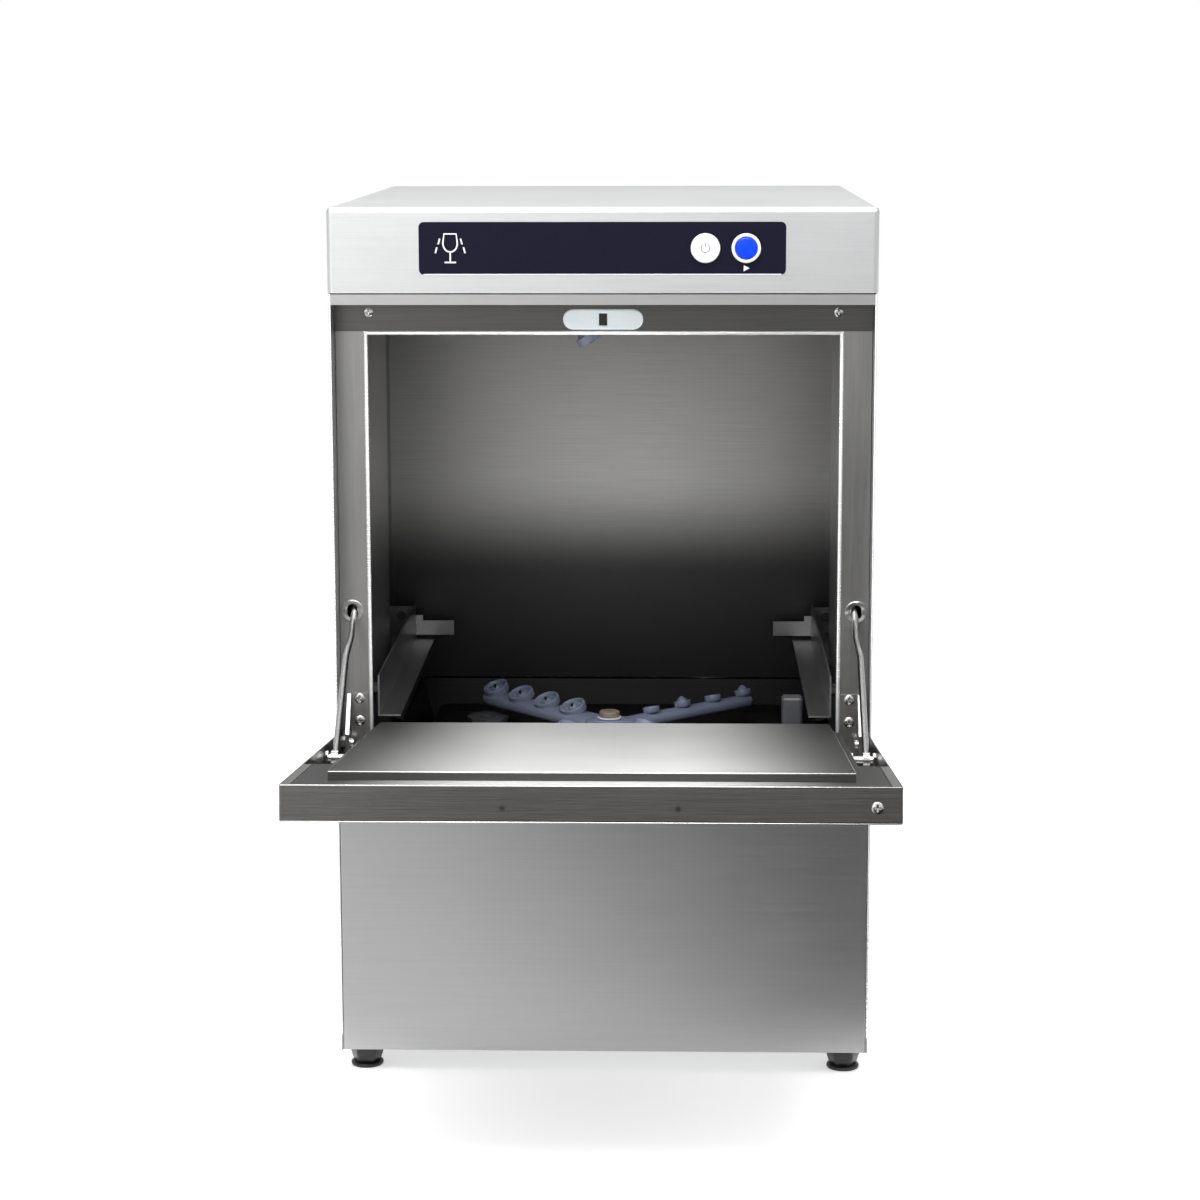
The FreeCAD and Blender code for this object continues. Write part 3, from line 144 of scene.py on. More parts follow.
def groundSteel(look):
    finish, tree, shader, place = startFinish(look["name"])
    slow = slowWays[look["along"]]
    grain = addNode(tree, "ShaderNodeMapping", {}, {"Vector": place.outputs["Object"],
                                                    "Scale": [14 if way else 1100 for way in slow]})
    lines = addNode(tree, "ShaderNodeTexNoise", {}, {"Vector": grain.outputs["Vector"], "Scale": 1.0,
                                                     "Detail": 3.0, "Roughness": 0.62})
    # handling and the rolling of the sheet leave broad, faint clouds about 150 mm across
    cloud = addNode(tree, "ShaderNodeTexNoise", {}, {"Vector": place.outputs["Object"], "Scale": 6.5,
                                                     "Detail": 2.0})
    both = addNode(tree, "ShaderNodeMath", {"operation": "MULTIPLY_ADD"},
                   {0: cloud.outputs["Fac"], 1: 0.6, 2: lines.outputs["Fac"]})
    span = {"Value": both.outputs["Value"], "From Min": 0.45, "From Max": 1.15}
    spread = addNode(tree, "ShaderNodeMapRange", {}, span)
    tone = mixTones(tree, spread.outputs["Result"], linear(look["dark"]), linear(look["light"]))
    smooth, rough = look["rough"]
    gloss = addNode(tree, "ShaderNodeMapRange", {}, dict(span, **{"To Min": smooth, "To Max": rough}))
    # the scratches themselves, 0.3 mm apart: too fine to be seen singly, they spread each highlight
    fine = addNode(tree, "ShaderNodeMapping", {}, {"Vector": place.outputs["Object"],
                                                   "Scale": [40 if way else 3300 for way in slow]})
    scratches = addNode(tree, "ShaderNodeTexNoise", {}, {"Vector": fine.outputs["Vector"],
                                                         "Scale": 1.0, "Detail": 1.0})
    relief = addNode(tree, "ShaderNodeBump", {}, {"Height": scratches.outputs["Fac"],
                                                  "Strength": look["scratch"], "Distance": 0.0002})
    fillSockets(tree, shader, {"Base Color": tone, "Roughness": gloss.outputs["Result"],
                               "Normal": relief.outputs["Normal"], "Metallic": look.get("metallic", 1.0)})
    return finish, tree, shader, place, tone


# Moulded plastics, rubber and powder coat. A spark-eroded mould leaves a grain of about 0.1 mm.
# Here it is 0.7 to 2 mm wide, one over "grain" in metres, so that it still shows.
plasticLooks = {
    "button_white": {"name": "mouldedAbsWhite", "dark": "#C2C2C6", "light": "#CFCFD2",
                     "rough": 0.32, "ior": 1.54, "grain": 1200, "bump": 0.04},
    "black_plastic": {"name": "mouldedPolyamideBlack", "dark": "#0E0E0F", "light": "#1B1B1C",
                      "rough": 0.28, "ior": 1.53, "grain": 900, "bump": 0.10},
    "latch_plastic": {"name": "mouldedAcetalPale", "dark": "#D3DDE2", "light": "#E6EDF0",
                      "rough": 0.34, "ior": 1.48, "grain": 1100, "bump": 0.05},
    "arm_plastic": {"name": "mouldedPolypropyleneBlueGrey", "dark": "#686F85", "light": "#7F869A",
                    "rough": 0.46, "ior": 1.49, "grain": 700, "bump": 0.18},
    "nut_plastic": {"name": "mouldedPolysulfoneUmber", "dark": "#77705F", "light": "#8C8371",
                    "rough": 0.40, "ior": 1.63, "grain": 900, "bump": 0.12},
    "hub_plastic": {"name": "mouldedPolypropyleneGrey", "dark": "#5E6370", "light": "#757B8A",
                    "rough": 0.48, "ior": 1.49, "grain": 700, "bump": 0.14},
    "pump_plastic": {"name": "glassFilledPolyamideGrey", "dark": "#3A3C40", "light": "#4B4D52",
                     "rough": 0.50, "ior": 1.53, "grain": 600, "bump": 0.22},
    "pipe_plastic": {"name": "extrudedPvcGrey", "dark": "#A9ABAD", "light": "#BDBFC0",
                     "rough": 0.38, "ior": 1.53, "grain": 500, "bump": 0.06},
    "hose_rubber": {"name": "epdmHoseRubber", "dark": "#161616", "light": "#222222",
                    "rough": 0.62, "ior": 1.52, "grain": 800, "bump": 0.20},
    "motor_paint": {"name": "powderCoatGraphite", "dark": "#26282B", "light": "#34363A",
                    "rough": 0.42, "ior": 1.50, "grain": 1400, "bump": 0.25},
}


def mouldedPlastic(look):
    finish, tree, shader, place = startFinish(look["name"])
    pores = addNode(tree, "ShaderNodeTexNoise", {}, {"Vector": place.outputs["Object"],
                                                     "Scale": look["grain"], "Detail": 2.0})
    patch = addNode(tree, "ShaderNodeTexNoise", {}, {"Vector": place.outputs["Object"],
                                                     "Scale": 28.0, "Detail": 4.0, "Roughness": 0.6})
    tone = mixTones(tree, patch.outputs["Fac"], linear(look["dark"]), linear(look["light"]))
    gloss = addNode(tree, "ShaderNodeMapRange", {}, {"Value": patch.outputs["Fac"],
                                                     "To Min": look["rough"] - 0.06,
                                                     "To Max": look["rough"] + 0.08})
    relief = addNode(tree, "ShaderNodeBump", {}, {"Height": pores.outputs["Fac"],
                                                  "Strength": look["bump"], "Distance": 0.0002})
    fillSockets(tree, shader, {"Base Color": tone, "Roughness": gloss.outputs["Result"],
                               "Normal": relief.outputs["Normal"], "IOR": look["ior"]})
    return finish


finishes = {slot: groundSteel(look)[0] for slot, look in steelLooks.items()
            if slot not in ("door_steel", "liner_steel")}
finishes.update({slot: mouldedPlastic(look) for slot, look in plasticLooks.items()})

# The door shell is the same ground steel in a darker tone, painted shade, with two dull marks where studs
# were welded on behind it
shellMarks = {"across": 58.5, "below": 15.0, "core": 0.6, "size": 3.2, "cover": 0.75, "tone": "#2A2826"}
doorLow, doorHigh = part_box("door_shell")
finishes["door_steel"], tree, shader, place, tone = groundSteel(steelLooks["door_steel"])
for side in (-1, 1):
    markAt = Vector((side * shellMarks["across"] * mm, doorLow.y, doorHigh.z - shellMarks["below"] * mm))
    away = addNode(tree, "ShaderNodeVectorMath", {"operation": "DISTANCE"},
                   {0: place.outputs["Object"], 1: markAt})
    dullness = addNode(tree, "ShaderNodeMapRange", {"interpolation_type": "SMOOTHSTEP"},
                       {"Value": away.outputs["Value"], "From Min": shellMarks["core"] * mm,
                        "From Max": shellMarks["size"] * mm, "To Min": shellMarks["cover"], "To Max": 0.0})
    tone = mixTones(tree, dullness.outputs["Result"], tone, linear(shellMarks["tone"]))
tree.links.new(tone, shader.inputs["Base Color"])

# Printed polyester film over the controls: near-black navy with a satin face, its matting drawn 1.1 mm wide
finish, tree, shader, place = startFinish("printedPolyesterNavy")
matting = addNode(tree, "ShaderNodeTexNoise", {}, {"Vector": place.outputs["Object"], "Scale": 900.0,
                                                   "Detail": 2.0})
tone = mixTones(tree, matting.outputs["Fac"], linear("#08081A"), linear("#0E0E22"))
gloss = addNode(tree, "ShaderNodeMapRange", {}, {"Value": matting.outputs["Fac"],
                                                 "To Min": 0.34, "To Max": 0.46})
fillSockets(tree, shader, {"Base Color": tone, "Roughness": gloss.outputs["Result"],
                           "IOR": 1.57, "Specular IOR Level": 0.10})
finishes["overlay_film"] = finish

# Polycarbonate lens, moulded clear blue, lit a little from behind, faintly mottled every 7 mm
finish, tree, shader, place = startFinish("mouldedPolycarbonateBlue")
depth = addNode(tree, "ShaderNodeTexNoise", {}, {"Vector": place.outputs["Object"], "Scale": 140.0})
glow = mixTones(tree, depth.outputs["Fac"], linear("#0026C8"), linear("#003CF0"))
fillSockets(tree, shader, {"Base Color": glow, "Emission Color": glow, "Emission Strength": 0.32,
                           "Specular IOR Level": 0.15, "Roughness": 0.22, "IOR": 1.58})
finishes["lens_blue"] = finish

# Copper tube, drawn and a little tarnished: warm patches about 11 mm across
finish, tree, shader, place = startFinish("drawnCopperTube")
tarnish = addNode(tree, "ShaderNodeTexNoise", {}, {"Vector": place.outputs["Object"], "Scale": 90.0,
                                                   "Detail": 5.0, "Roughness": 0.7})
tone = mixTones(tree, tarnish.outputs["Fac"], linear("#8E5238"), linear("#D98E6A"))
gloss = addNode(tree, "ShaderNodeMapRange", {}, {"Value": tarnish.outputs["Fac"],
                                                 "To Min": 0.22, "To Max": 0.5})
fillSockets(tree, shader, {"Base Color": tone, "Roughness": gloss.outputs["Result"], "Metallic": 1.0})
finishes["copper_pipe"] = finish

# Circuit board: glass-epoxy under green solder mask, with tracks 2.5 mm apart just showing through
finish, tree, shader, place = startFinish("solderMaskedEpoxyGreen")
tracks = addNode(tree, "ShaderNodeTexBrick", {}, {"Vector": place.outputs["Object"], "Scale": 100.0,
                                                  "Color1": linear("#0D4A2A"),
                                                  "Color2": linear("#0F5230"),
                                                  "Mortar": linear("#1C6E40"), "Mortar Size": 0.04})
fillSockets(tree, shader, {"Base Color": tracks.outputs["Color"], "Roughness": 0.35, "IOR": 1.55})
finishes["board_green"] = finish

# The chamber's back is the same mill sheet, painted darker lower down: painted shade towards the chamber's
# floor, where little light reaches. The heights are in metres.
wallStain = {"dull": "#3A3A3A", "from": 0.338, "to": 0.435}
wallLook = dict(steelLooks["chamber_steel"], name="millSteelWall", dark="#949391", light="#A8A7A5")
wallFinish, tree, shader, place, tone = groundSteel(wallLook)
height = addNode(tree, "ShaderNodeSeparateXYZ", {}, {"Vector": place.outputs["Object"]})
clean = addNode(tree, "ShaderNodeMapRange", {"interpolation_type": "SMOOTHSTEP"},
                {"Value": height.outputs["Z"], "From Min": wallStain["from"], "From Max": wallStain["to"]})
tone = mixTones(tree, clean.outputs["Result"], linear(wallStain["dull"]), tone)
tree.links.new(tone, shader.inputs["Base Color"])

# The middle of the door's liner keeps a near-white tone, a painted highlight. Its sides, and the fold at its
# front where it faces forward, are painted dark: painted shade. The distances from the middle are in metres.
burnish = {"dull": "#3C3C3B", "from": 0.05, "to": 0.185, "foldFaces": -0.6}
finishes["liner_steel"], tree, shader, place, tone = groundSteel(steelLooks["liner_steel"])
across = addNode(tree, "ShaderNodeSeparateXYZ", {}, {"Vector": place.outputs["Object"]})
offMiddle = addNode(tree, "ShaderNodeMath", {"operation": "ABSOLUTE"}, {0: across.outputs["X"]})
dull = addNode(tree, "ShaderNodeMapRange", {"interpolation_type": "SMOOTHSTEP"},
               {"Value": offMiddle.outputs["Value"], "From Min": burnish["from"], "From Max": burnish["to"]})
tone = mixTones(tree, dull.outputs["Result"], tone, linear(burnish["dull"]))
facing = addNode(tree, "ShaderNodeSeparateXYZ", {}, {"Vector": place.outputs["Normal"]})
frontFold = addNode(tree, "ShaderNodeMath", {"operation": "LESS_THAN"},
                    {0: facing.outputs["Y"], 1: burnish["foldFaces"]})
tone = mixTones(tree, frontFold.outputs["Value"], tone, linear(burnish["dull"]))
tree.links.new(tone, shader.inputs["Base Color"])

# The header's recessed band is painted dark, painted shade under the ledge above it. The strip above it keeps
# the ground steel's tone.
headerStrip = {"from": 0.6115, "tone": "#C4C4C3"}
headerLook = dict(steelLooks["frame_steel"], name="groundSteelHeader", dark="#5C5B5A", light="#6C6B6A",
                  along="x")
headerFinish, tree, shader, place, tone = groundSteel(headerLook)
height = addNode(tree, "ShaderNodeSeparateXYZ", {}, {"Vector": place.outputs["Object"]})
strip = addNode(tree, "ShaderNodeMath", {"operation": "GREATER_THAN"},
                {0: height.outputs["Z"], 1: headerStrip["from"]})
tone = mixTones(tree, strip.outputs["Value"], tone, linear(headerStrip["tone"]))
tree.links.new(tone, shader.inputs["Base Color"])

# The tank is the chamber's sheet again, painted near-black: painted shade at the bottom of the chamber
tankFinish = groundSteel(dict(steelLooks["chamber_steel"], name="millSteelTank", dark="#181818",
                              light="#222222"))[0]

ownFinishes = {"chamber_back": wallFinish, "door_header": headerFinish, "tank": tankFinish,
               "tank_strainer": tankFinish, "overflow_pipe": finishes["pump_plastic"],
               "air_trap": finishes["pump_plastic"]}
for name, node in frame["nodes"].items():
    slotName = node.material_slots[0].material.name
    node.material_slots[0].material = ownFinishes.get(name, finishes[slotName])
print("finishes made:", len(finishes))


# The mesh helpers take millimetres, measured from the place that standAt gives
def standAt(point, direction, side=Vector((1, 0, 0))):
    zAxis = Vector(direction).normalized()
    xAxis = (Vector(side) - zAxis * zAxis.dot(side)).normalized()
    turn = Matrix((xAxis, zAxis.cross(xAxis), zAxis)).transposed().to_4x4()
    return Matrix.Translation(point) @ turn @ Matrix.Scale(mm, 4)


def joinRings(bm, rings):
    for first, second in zip(rings, rings[1:]):
        count = max(len(first), len(second))
        for k in range(count):
            corners = [first[k % len(first)], first[(k + 1) % len(first)],
                       second[(k + 1) % len(second)], second[k % len(second)]]
            corners = list(dict.fromkeys(corners))
            if len(corners) > 2:
                bm.faces.new(corners)
    for ring in (rings[0], rings[-1]):
        if len(ring) > 2:
            bm.faces.new(ring)


def lathe(bm, place, profile, turns=40):
    rings = []
    for radius, height in profile:
        steps = turns if radius > 0 else 1
        rings.append([bm.verts.new(place @ Vector((radius * math.cos(math.tau * k / steps),
                                                   radius * math.sin(math.tau * k / steps), height)))
                      for k in range(steps)])
    joinRings(bm, rings)


def loft(bm, place, outlines):
    joinRings(bm, [[bm.verts.new(place @ Vector(p)) for p in outline] for outline in outlines])


def rounded(length, width, radius, height, steps=8):
    # outline of a rectangle with round corners, at one height
    corners = [(1, 1), (-1, 1), (-1, -1), (1, -1)]
    points = []
    for number, (sx, sy) in enumerate(corners):
        for k in range(steps + 1):
            a = math.pi / 2 * (number + k / steps)
            points.append((sx * (length / 2 - radius) + radius * math.cos(a),
                           sy * (width / 2 - radius) + radius * math.sin(a), height))
    return points


def ribbon(bm, place, line, width, thick, closed=False):
    # a flat raised line, for symbols
    count = len(line)
    outlines = []
    for k, (x, y) in enumerate(line):
        before = line[k - 1] if closed or k else line[0]
        after = line[(k + 1) % count] if closed or k < count - 1 else line[-1]
        dx, dy = after[0] - before[0], after[1] - before[1]
        size = math.hypot(dx, dy)
        nx, ny = -dy / size * width / 2, dx / size * width / 2
        outlines.append([(x + nx, y + ny, 0), (x - nx, y - ny, 0),
                         (x - nx, y - ny, thick), (x + nx, y + ny, thick)])
    rings = [[bm.verts.new(place @ Vector(p)) for p in outline] for outline in outlines]
    if closed:
        for first, second in zip(rings, rings[1:] + rings[:1]):
            for k in range(4):
                bm.faces.new([first[k], first[(k + 1) % 4], second[(k + 1) % 4], second[k]])
    else:
        joinRings(bm, rings)


def finishPiece(name, bm, slot, body, stands=(), sharp=32):
    bmesh.ops.recalc_face_normals(bm, faces=bm.faces)
    mesh = bpy.data.meshes.new(name)
    bm.to_mesh(mesh)
    bm.free()
    mesh.polygons.foreach_set("use_smooth", [True] * len(mesh.polygons))
    mesh.set_sharp_from_angle(angle=math.radians(sharp))
    mesh.materials.append(finishes[slot])
    piece = bpy.data.objects.new(name, mesh)
    bpy.context.scene.collection.objects.link(piece)
    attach(piece, body)
    if stands:
        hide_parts(*stands)
    return piece


def islands(node):
    # boxes of the separate solids in a node's mesh
    bm = bmesh.new()
    bm.from_mesh(frame["nodes"][node].data)
    bmesh.ops.remove_doubles(bm, verts=bm.verts, dist=1e-6)
    left = set(bm.verts)
    found = []
    while left:
        group = {left.pop()}
        edge = list(group)
        while edge:
            near = {e.other_vert(v) for v in edge for e in v.link_edges} - group
            group |= near
            edge = list(near)
        left -= group
        low = Vector([min(v.co[k] for v in group) for k in range(3)])
        high = Vector([max(v.co[k] for v in group) for k in range(3)])
        found.append((low, high))
    bm.free()
    return sorted(found, key=lambda box: tuple(box[0]))

panel = {"radius": 11.2, "proud": 3.5, "stem": 5.0, "lensRadius": 8.5, "lensRise": 0.6,
         "symbolRadius": 3.3, "symbolLine": 0.75, "playSize": 2.6, "playBelow": 15.2,
         "glassIn": 24.0, "glassHeight": 22.0, "glassLine": 1.15}
filmLow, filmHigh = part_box("control_overlay")


def buttonPlace(node):
    low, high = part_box(node)
    centre = (low + high) / 2
    return standAt((centre.x, low.y + panel["proud"] * mm, centre.z), forward), (high.y - low.y) / mm


place, length = buttonPlace("power_button")
back = panel["proud"] - length
r, p = panel["radius"], panel["proud"]
bm = bmesh.new()
lathe(bm, place, [(0, p - 0.75), (r * 0.6, p - 0.7), (r * 0.8, p - 0.45), (r * 0.88, p), (r * 0.95, p - 0.12),
                  (r * 0.99, p - 0.6), (r, p - 1.2), (r, -0.4), (panel["stem"], -0.4),
                  (panel["stem"], back), (0, back)], 64)
finishPiece("powerButtonCap", bm, "button_white", "power_button", ["power_button"], 50)

bm = bmesh.new()
face = place @ Matrix.Translation((0, 0, p - 0.78))
arc = [(panel["symbolRadius"] * math.sin(math.radians(a)), panel["symbolRadius"] * math.cos(math.radians(a)))
       for a in range(34, 327, 6)]
ribbon(bm, face, arc, panel["symbolLine"], 0.16)
ribbon(bm, face, [(0, 1.0), (0, 4.3)], panel["symbolLine"], 0.16)
finishPiece("powerSymbol", bm, "hub_plastic", "power_button")

place, length = buttonPlace("start_button")
back = panel["proud"] - length
lensLow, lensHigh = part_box("start_lens")
lensTop = p + panel["lensRise"]
bm = bmesh.new()
lathe(bm, place, [(0, 0.3), (r * 0.79, 0.3), (r * 0.79, p - 0.3), (r * 0.83, p), (r * 0.93, p - 0.05),
                  (r * 0.98, p - 0.5), (r, p - 1.2), (r, -0.4), (panel["stem"], -0.4),
                  (panel["stem"], back), (0, back)], 64)
finishPiece("startButtonRing", bm, "button_white", "start_button", ["start_button"], 50)
bm = bmesh.new()
lens = panel["lensRadius"]
lathe(bm, place, [(0, lensTop), (lens * 0.5, lensTop - 0.12), (lens * 0.8, lensTop - 0.4),
                  (lens * 0.94, lensTop - 0.8), (lens, lensTop - 1.5), (lens, 0.4), (0, 0.4)], 64)
finishPiece("startButtonLens", bm, "lens_blue", "start_button", ["start_lens"], 50)

# a plain play triangle under the start button, and a wine glass at the film's other end
startCentre = (lensLow + lensHigh) / 2
s = panel["playSize"]
bm = bmesh.new()
face = standAt((startCentre.x, filmLow.y, startCentre.z - panel["playBelow"] * mm), forward)
outline = [(s, 0), (-s * 0.7, s * 0.9), (-s * 0.7, -s * 0.9)]
loft(bm, face, [[(x, y, -0.1) for x, y in outline], [(x, y, 0.06) for x, y in outline]])
finishPiece("playMark", bm, "button_white", "cabinet")

glass = panel["glassHeight"]
bm = bmesh.new()
face = standAt((filmLow.x + panel["glassIn"] * mm, filmLow.y, (filmLow.z + filmHigh.z) / 2), forward)
bowl = [(glass * 0.25 * math.cos(a), glass * 0.18 + glass * 0.3 * math.sin(a))
        for a in [math.radians(v) for v in range(180, 361, 10)]]
bowl = [(-glass * 0.21, glass * 0.5)] + bowl + [(glass * 0.21, glass * 0.5)]
ribbon(bm, face, bowl, panel["glassLine"], 0.06, True)
ribbon(bm, face, [(0, -glass * 0.12), (0, -glass * 0.47)], panel["glassLine"], 0.06)
ribbon(bm, face, [(-glass * 0.2, -glass * 0.48), (glass * 0.2, -glass * 0.48)], panel["glassLine"], 0.06)
for sign in (-1, 1):   # water falling each side of it
    for step, reach in enumerate((0.36, 0.46)):
        x = sign * glass * reach
        ribbon(bm, face, [(x, glass * (0.34 - step * 0.3)), (x + sign * 1.2, glass * (0.14 - step * 0.3))],
               panel["glassLine"], 0.06)
finishPiece("glassMark", bm, "button_white", "cabinet")

bm = bmesh.new()   # light edge of the film, below it
half = (filmHigh.x - filmLow.x) / mm / 2 - 3.5
face = standAt(((filmLow.x + filmHigh.x) / 2, filmLow.y, filmLow.z), forward)
ribbon(bm, face, [(-half, 0.35), (half, 0.35)], 0.7, 0.05)
finishPiece("filmEdge", bm, "button_white", "cabinet")
print("control panel made")

washArm = {"reach": 165.0, "root": 33.0, "tip": 25.0, "angle": 133.0, "square": 3.0, "hub": 21.0,
           "jets": (46, 81, 116, 151), "jetRadius": 11.5, "lean": 24.0, "twist": 47.0}
rinseArm = {"reach": 165.0, "root": 20.0, "tip": 14.5, "angle": 41.6, "square": 2.5,
            "nozzles": (48, 84, 120, 156), "nozzleRadius": 7.5, "lean": 14.0}
topArm = {"reach": 154.25, "root": 20.0, "tip": 15.0, "angle": 264.9, "square": 2.6, "hub": 16.0,
          "deep": 12.0, "jets": (34, 70, 106, 142), "jetRadius": 11.2, "lean": 30.0}
nut = {"radius": 8.7, "tall": 5.0, "washerRadius": 10.5, "washerThick": 1.4, "grips": 22, "gripDepth": 0.03}


def heading(degrees):
    return Vector((math.cos(math.radians(degrees)), math.sin(math.radians(degrees)), 0))


def hollowArm(bm, place, arm, low, high):
    # one moulding from tip to tip, with full round ends
    tipHalf = arm["tip"] / 2
    ends = [arm["reach"] - tipHalf * (1 - math.cos(math.radians(a))) for a in (6, 18, 32, 48, 64, 80)]
    stations = ends + [arm["reach"] * f for f in (0.8, 0.65, 0.5, 0.35, 0.2, 0.08)]
    stations = [-x for x in stations] + [0] + stations[::-1]
    outlines = []
    for x in stations:
        fromTip = arm["reach"] - abs(x)
        share = min(1, fromTip / tipHalf)
        fullness = math.sqrt(max(0, 1 - (1 - share) ** 2))
        half = (arm["tip"] + (arm["root"] - arm["tip"]) * (1 - abs(x) / arm["reach"])) / 2 * fullness
        tall = (high - low) / 2 * (0.45 + 0.55 * fullness)
        middle = (high + low) / 2
        outline = []
        for k in range(32):
            a = math.tau * k / 32
            c, s = math.cos(a), math.sin(a)
            outline.append((x, half * math.copysign(abs(c) ** (2 / arm["square"]), c),
                            middle + tall * math.copysign(abs(s) ** (2 / arm["square"]), s)))
        outlines.append(outline)
    loft(bm, place, outlines)


def jetPlaces(centre, arm, spots, height, way=1):
    # jets lean sideways off the arm, the other way on its other half, so that the water turns it
    places = []
    lean = math.radians(arm["lean"])
    for half in (0, 180):
        along = heading(arm["angle"] + half)
        leaning = heading(arm["angle"] + half + 90)
        for spot in spots:
            axis = leaning * math.sin(lean) + up * way * math.cos(lean)
            places.append(standAt(centre + along * spot * mm + up * height * mm, axis, along))
    return places


def dome(bm, place, radius, low, high, turns=24):
    steps = [(radius * math.cos(math.radians(a)), low + (high - low) * math.sin(math.radians(a)))
             for a in range(0, 90, 15)]
    lathe(bm, place, [(0, low - 0.6), (radius, low - 0.6)] + steps + [(0, high)], turns)


def washCup(bm, place, radius):
    # drawn for the wash jets' radius, and scaled to any other
    f = radius / washArm["jetRadius"]
    profile = [(0, -9), (7.6, -9), (8.2, -3), (8.8, -0.8), (10.9, -0.5), (11.4, 0.2), (11.5, 5.0),
               (11.3, 5.9), (10.6, 6.4), (9.5, 6.3), (8.8, 5.5), (8.4, 3.4), (0, 3.2)]
    lathe(bm, place, [(out * f, rise * f) for out, rise in profile], 48)
    dome(bm, place, 4.9 * f, 3.3 * f, 6.9 * f)
    for side in (-1, 1):   # webs that carry the middle
        web = place @ Matrix.Translation((side * 6.2 * f, 0, 3.2 * f))
        loft(bm, web, [rounded(5.4 * f, 2.2 * f, 0.5 * f, 0), rounded(5.0 * f, 1.6 * f, 0.5 * f, 1.7 * f)])


def jetMouth(bm, place, radius):
    # the slot the water leaves by, pointed at both ends, lying over the dome
    f = radius / washArm["jetRadius"]
    outlines = []
    for k in range(9):
        t = -1 + k / 4
        wide = 1.25 * f * math.sqrt(max(0.02, 1 - t * t))
        y = t * 3.9 * f
        z = 3.3 * f + 3.6 * f * math.sqrt(max(0, 1 - (y / (4.9 * f)) ** 2))
        outlines.append([(-wide, y, z - 0.8), (wide, y, z - 0.8), (wide, y, z + 0.3), (-wide, y, z + 0.3)])
    loft(bm, place, outlines)
    for side in (-1, 1):
        pocket = place @ Matrix.Translation((side * 6.4 * f, 2.6 * f, 3.3 * f))
        loft(bm, pocket, [rounded(2.6 * f, 1.3 * f, 0.6 * f, -0.2), rounded(2.6 * f, 1.3 * f, 0.6 * f, 0.12)])


armLow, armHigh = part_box("wash_arm")
hubCentre = Vector(((armLow.x + armHigh.x) / 2, (armLow.y + armHigh.y) / 2, 0))
lowZ, highZ = armLow.z / mm, armHigh.z / mm
bm = bmesh.new()
hollowArm(bm, standAt(hubCentre, up, heading(washArm["angle"])), washArm, lowZ + 1, highZ - 1.5)
hub = washArm["hub"]
lathe(bm, standAt(hubCentre, up), [(0, lowZ), (hub - 2, lowZ), (hub - 0.6, lowZ + 0.6), (hub, lowZ + 2),
                                   (hub, highZ - 3.2), (hub - 1, highZ - 1.8), (hub - 3.5, highZ - 1.2),
                                   (14, highZ - 0.9), (13, highZ), (0, highZ)], 64)
finishPiece("washArmMoulding", bm, "arm_plastic", "lower_rotor", ["wash_arm"])

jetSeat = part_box("wash_jets")[0].z / mm + 0.6
twist = Matrix.Rotation(math.radians(washArm["twist"]), 4, "Z")
washPlaces = [place @ twist for place in jetPlaces(hubCentre, washArm, washArm["jets"], jetSeat)]
bm = bmesh.new()
for place in washPlaces:
    washCup(bm, place, washArm["jetRadius"])
finishPiece("washJetCups", bm, "arm_plastic", "lower_rotor", ["wash_jets"])
bm = bmesh.new()
for place in washPlaces:
    jetMouth(bm, place, washArm["jetRadius"])
finishPiece("washJetMouths", bm, "black_plastic", "lower_rotor")

rinseLow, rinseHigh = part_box("rinse_arm_lower")
armTop = rinseHigh.z / mm - 5.3
bm = bmesh.new()
hollowArm(bm, standAt(hubCentre, up, heading(rinseArm["angle"])), rinseArm, rinseLow.z / mm, armTop)
f = rinseArm["nozzleRadius"]
nozzleProfile = [(0, -4), (0.6, -4), (0.66, -0.4), (0.78, 0.2), (0.9, 0.6), (0.96, 1.4), (1, 5.2),
                 (0.97, 5.8), (0.86, 5.9), (0.8, 5.2), (0.74, 3.6), (0, 3.4)]
for number, place in enumerate(jetPlaces(hubCentre, rinseArm, rinseArm["nozzles"], armTop - 0.6)):
    lathe(bm, place, [(f * out, rise) for out, rise in nozzleProfile], 36)
    for side in (-1, 1):   # thin ribs down the cup
        rib = place @ Matrix.Translation((side * f * 0.93, 0, 0.7))
        loft(bm, rib, [rounded(1.6, 1.1, 0.4, 0), rounded(1.6, 1.1, 0.4, 5.0)])
    if number % 2:   # every second nozzle has its spreader fitted
        lathe(bm, place, [(0, 3), (f * 0.62, 3), (f * 0.6, 6.6), (f * 0.42, 7.8), (f * 0.2, 9.6),
                          (0, 10)], 28)
finishPiece("rinseArmMoulding", bm, "arm_plastic", "lower_rotor", ["rinse_arm_lower"])

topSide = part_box("rinse_arm_upper")[1].z / mm
spindleLow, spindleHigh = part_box("upper_spindle")
topCentre = Vector(((spindleLow.x + spindleHigh.x) / 2, (spindleLow.y + spindleHigh.y) / 2, 0))
underside = topSide - topArm["deep"]
hub = topArm["hub"]
bm = bmesh.new()
hollowArm(bm, standAt(topCentre, up, heading(topArm["angle"])), topArm, underside + 1, topSide - 1)
lathe(bm, standAt(topCentre, up), [(0, underside), (hub - 3, underside), (hub - 0.6, underside + 0.8),
                                   (hub, underside + 2.4), (hub, topSide - 1), (hub - 1, topSide),
                                   (0, topSide)], 48)
topPlaces = jetPlaces(topCentre, topArm, topArm["jets"], underside + 2.4, -1)
for place in topPlaces:
    washCup(bm, place, topArm["jetRadius"])
finishPiece("topArmMoulding", bm, "arm_plastic", "upper_rotor", ["rinse_arm_upper"])
bm = bmesh.new()
for place in topPlaces:
    jetMouth(bm, place, topArm["jetRadius"])
finishPiece("topArmMouths", bm, "black_plastic", "upper_rotor")

nutLow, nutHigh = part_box("rotor_nut")
nutBase, nutTop = nutLow.z / mm, nutHigh.z / mm
washerTop = nutTop - nut["tall"]


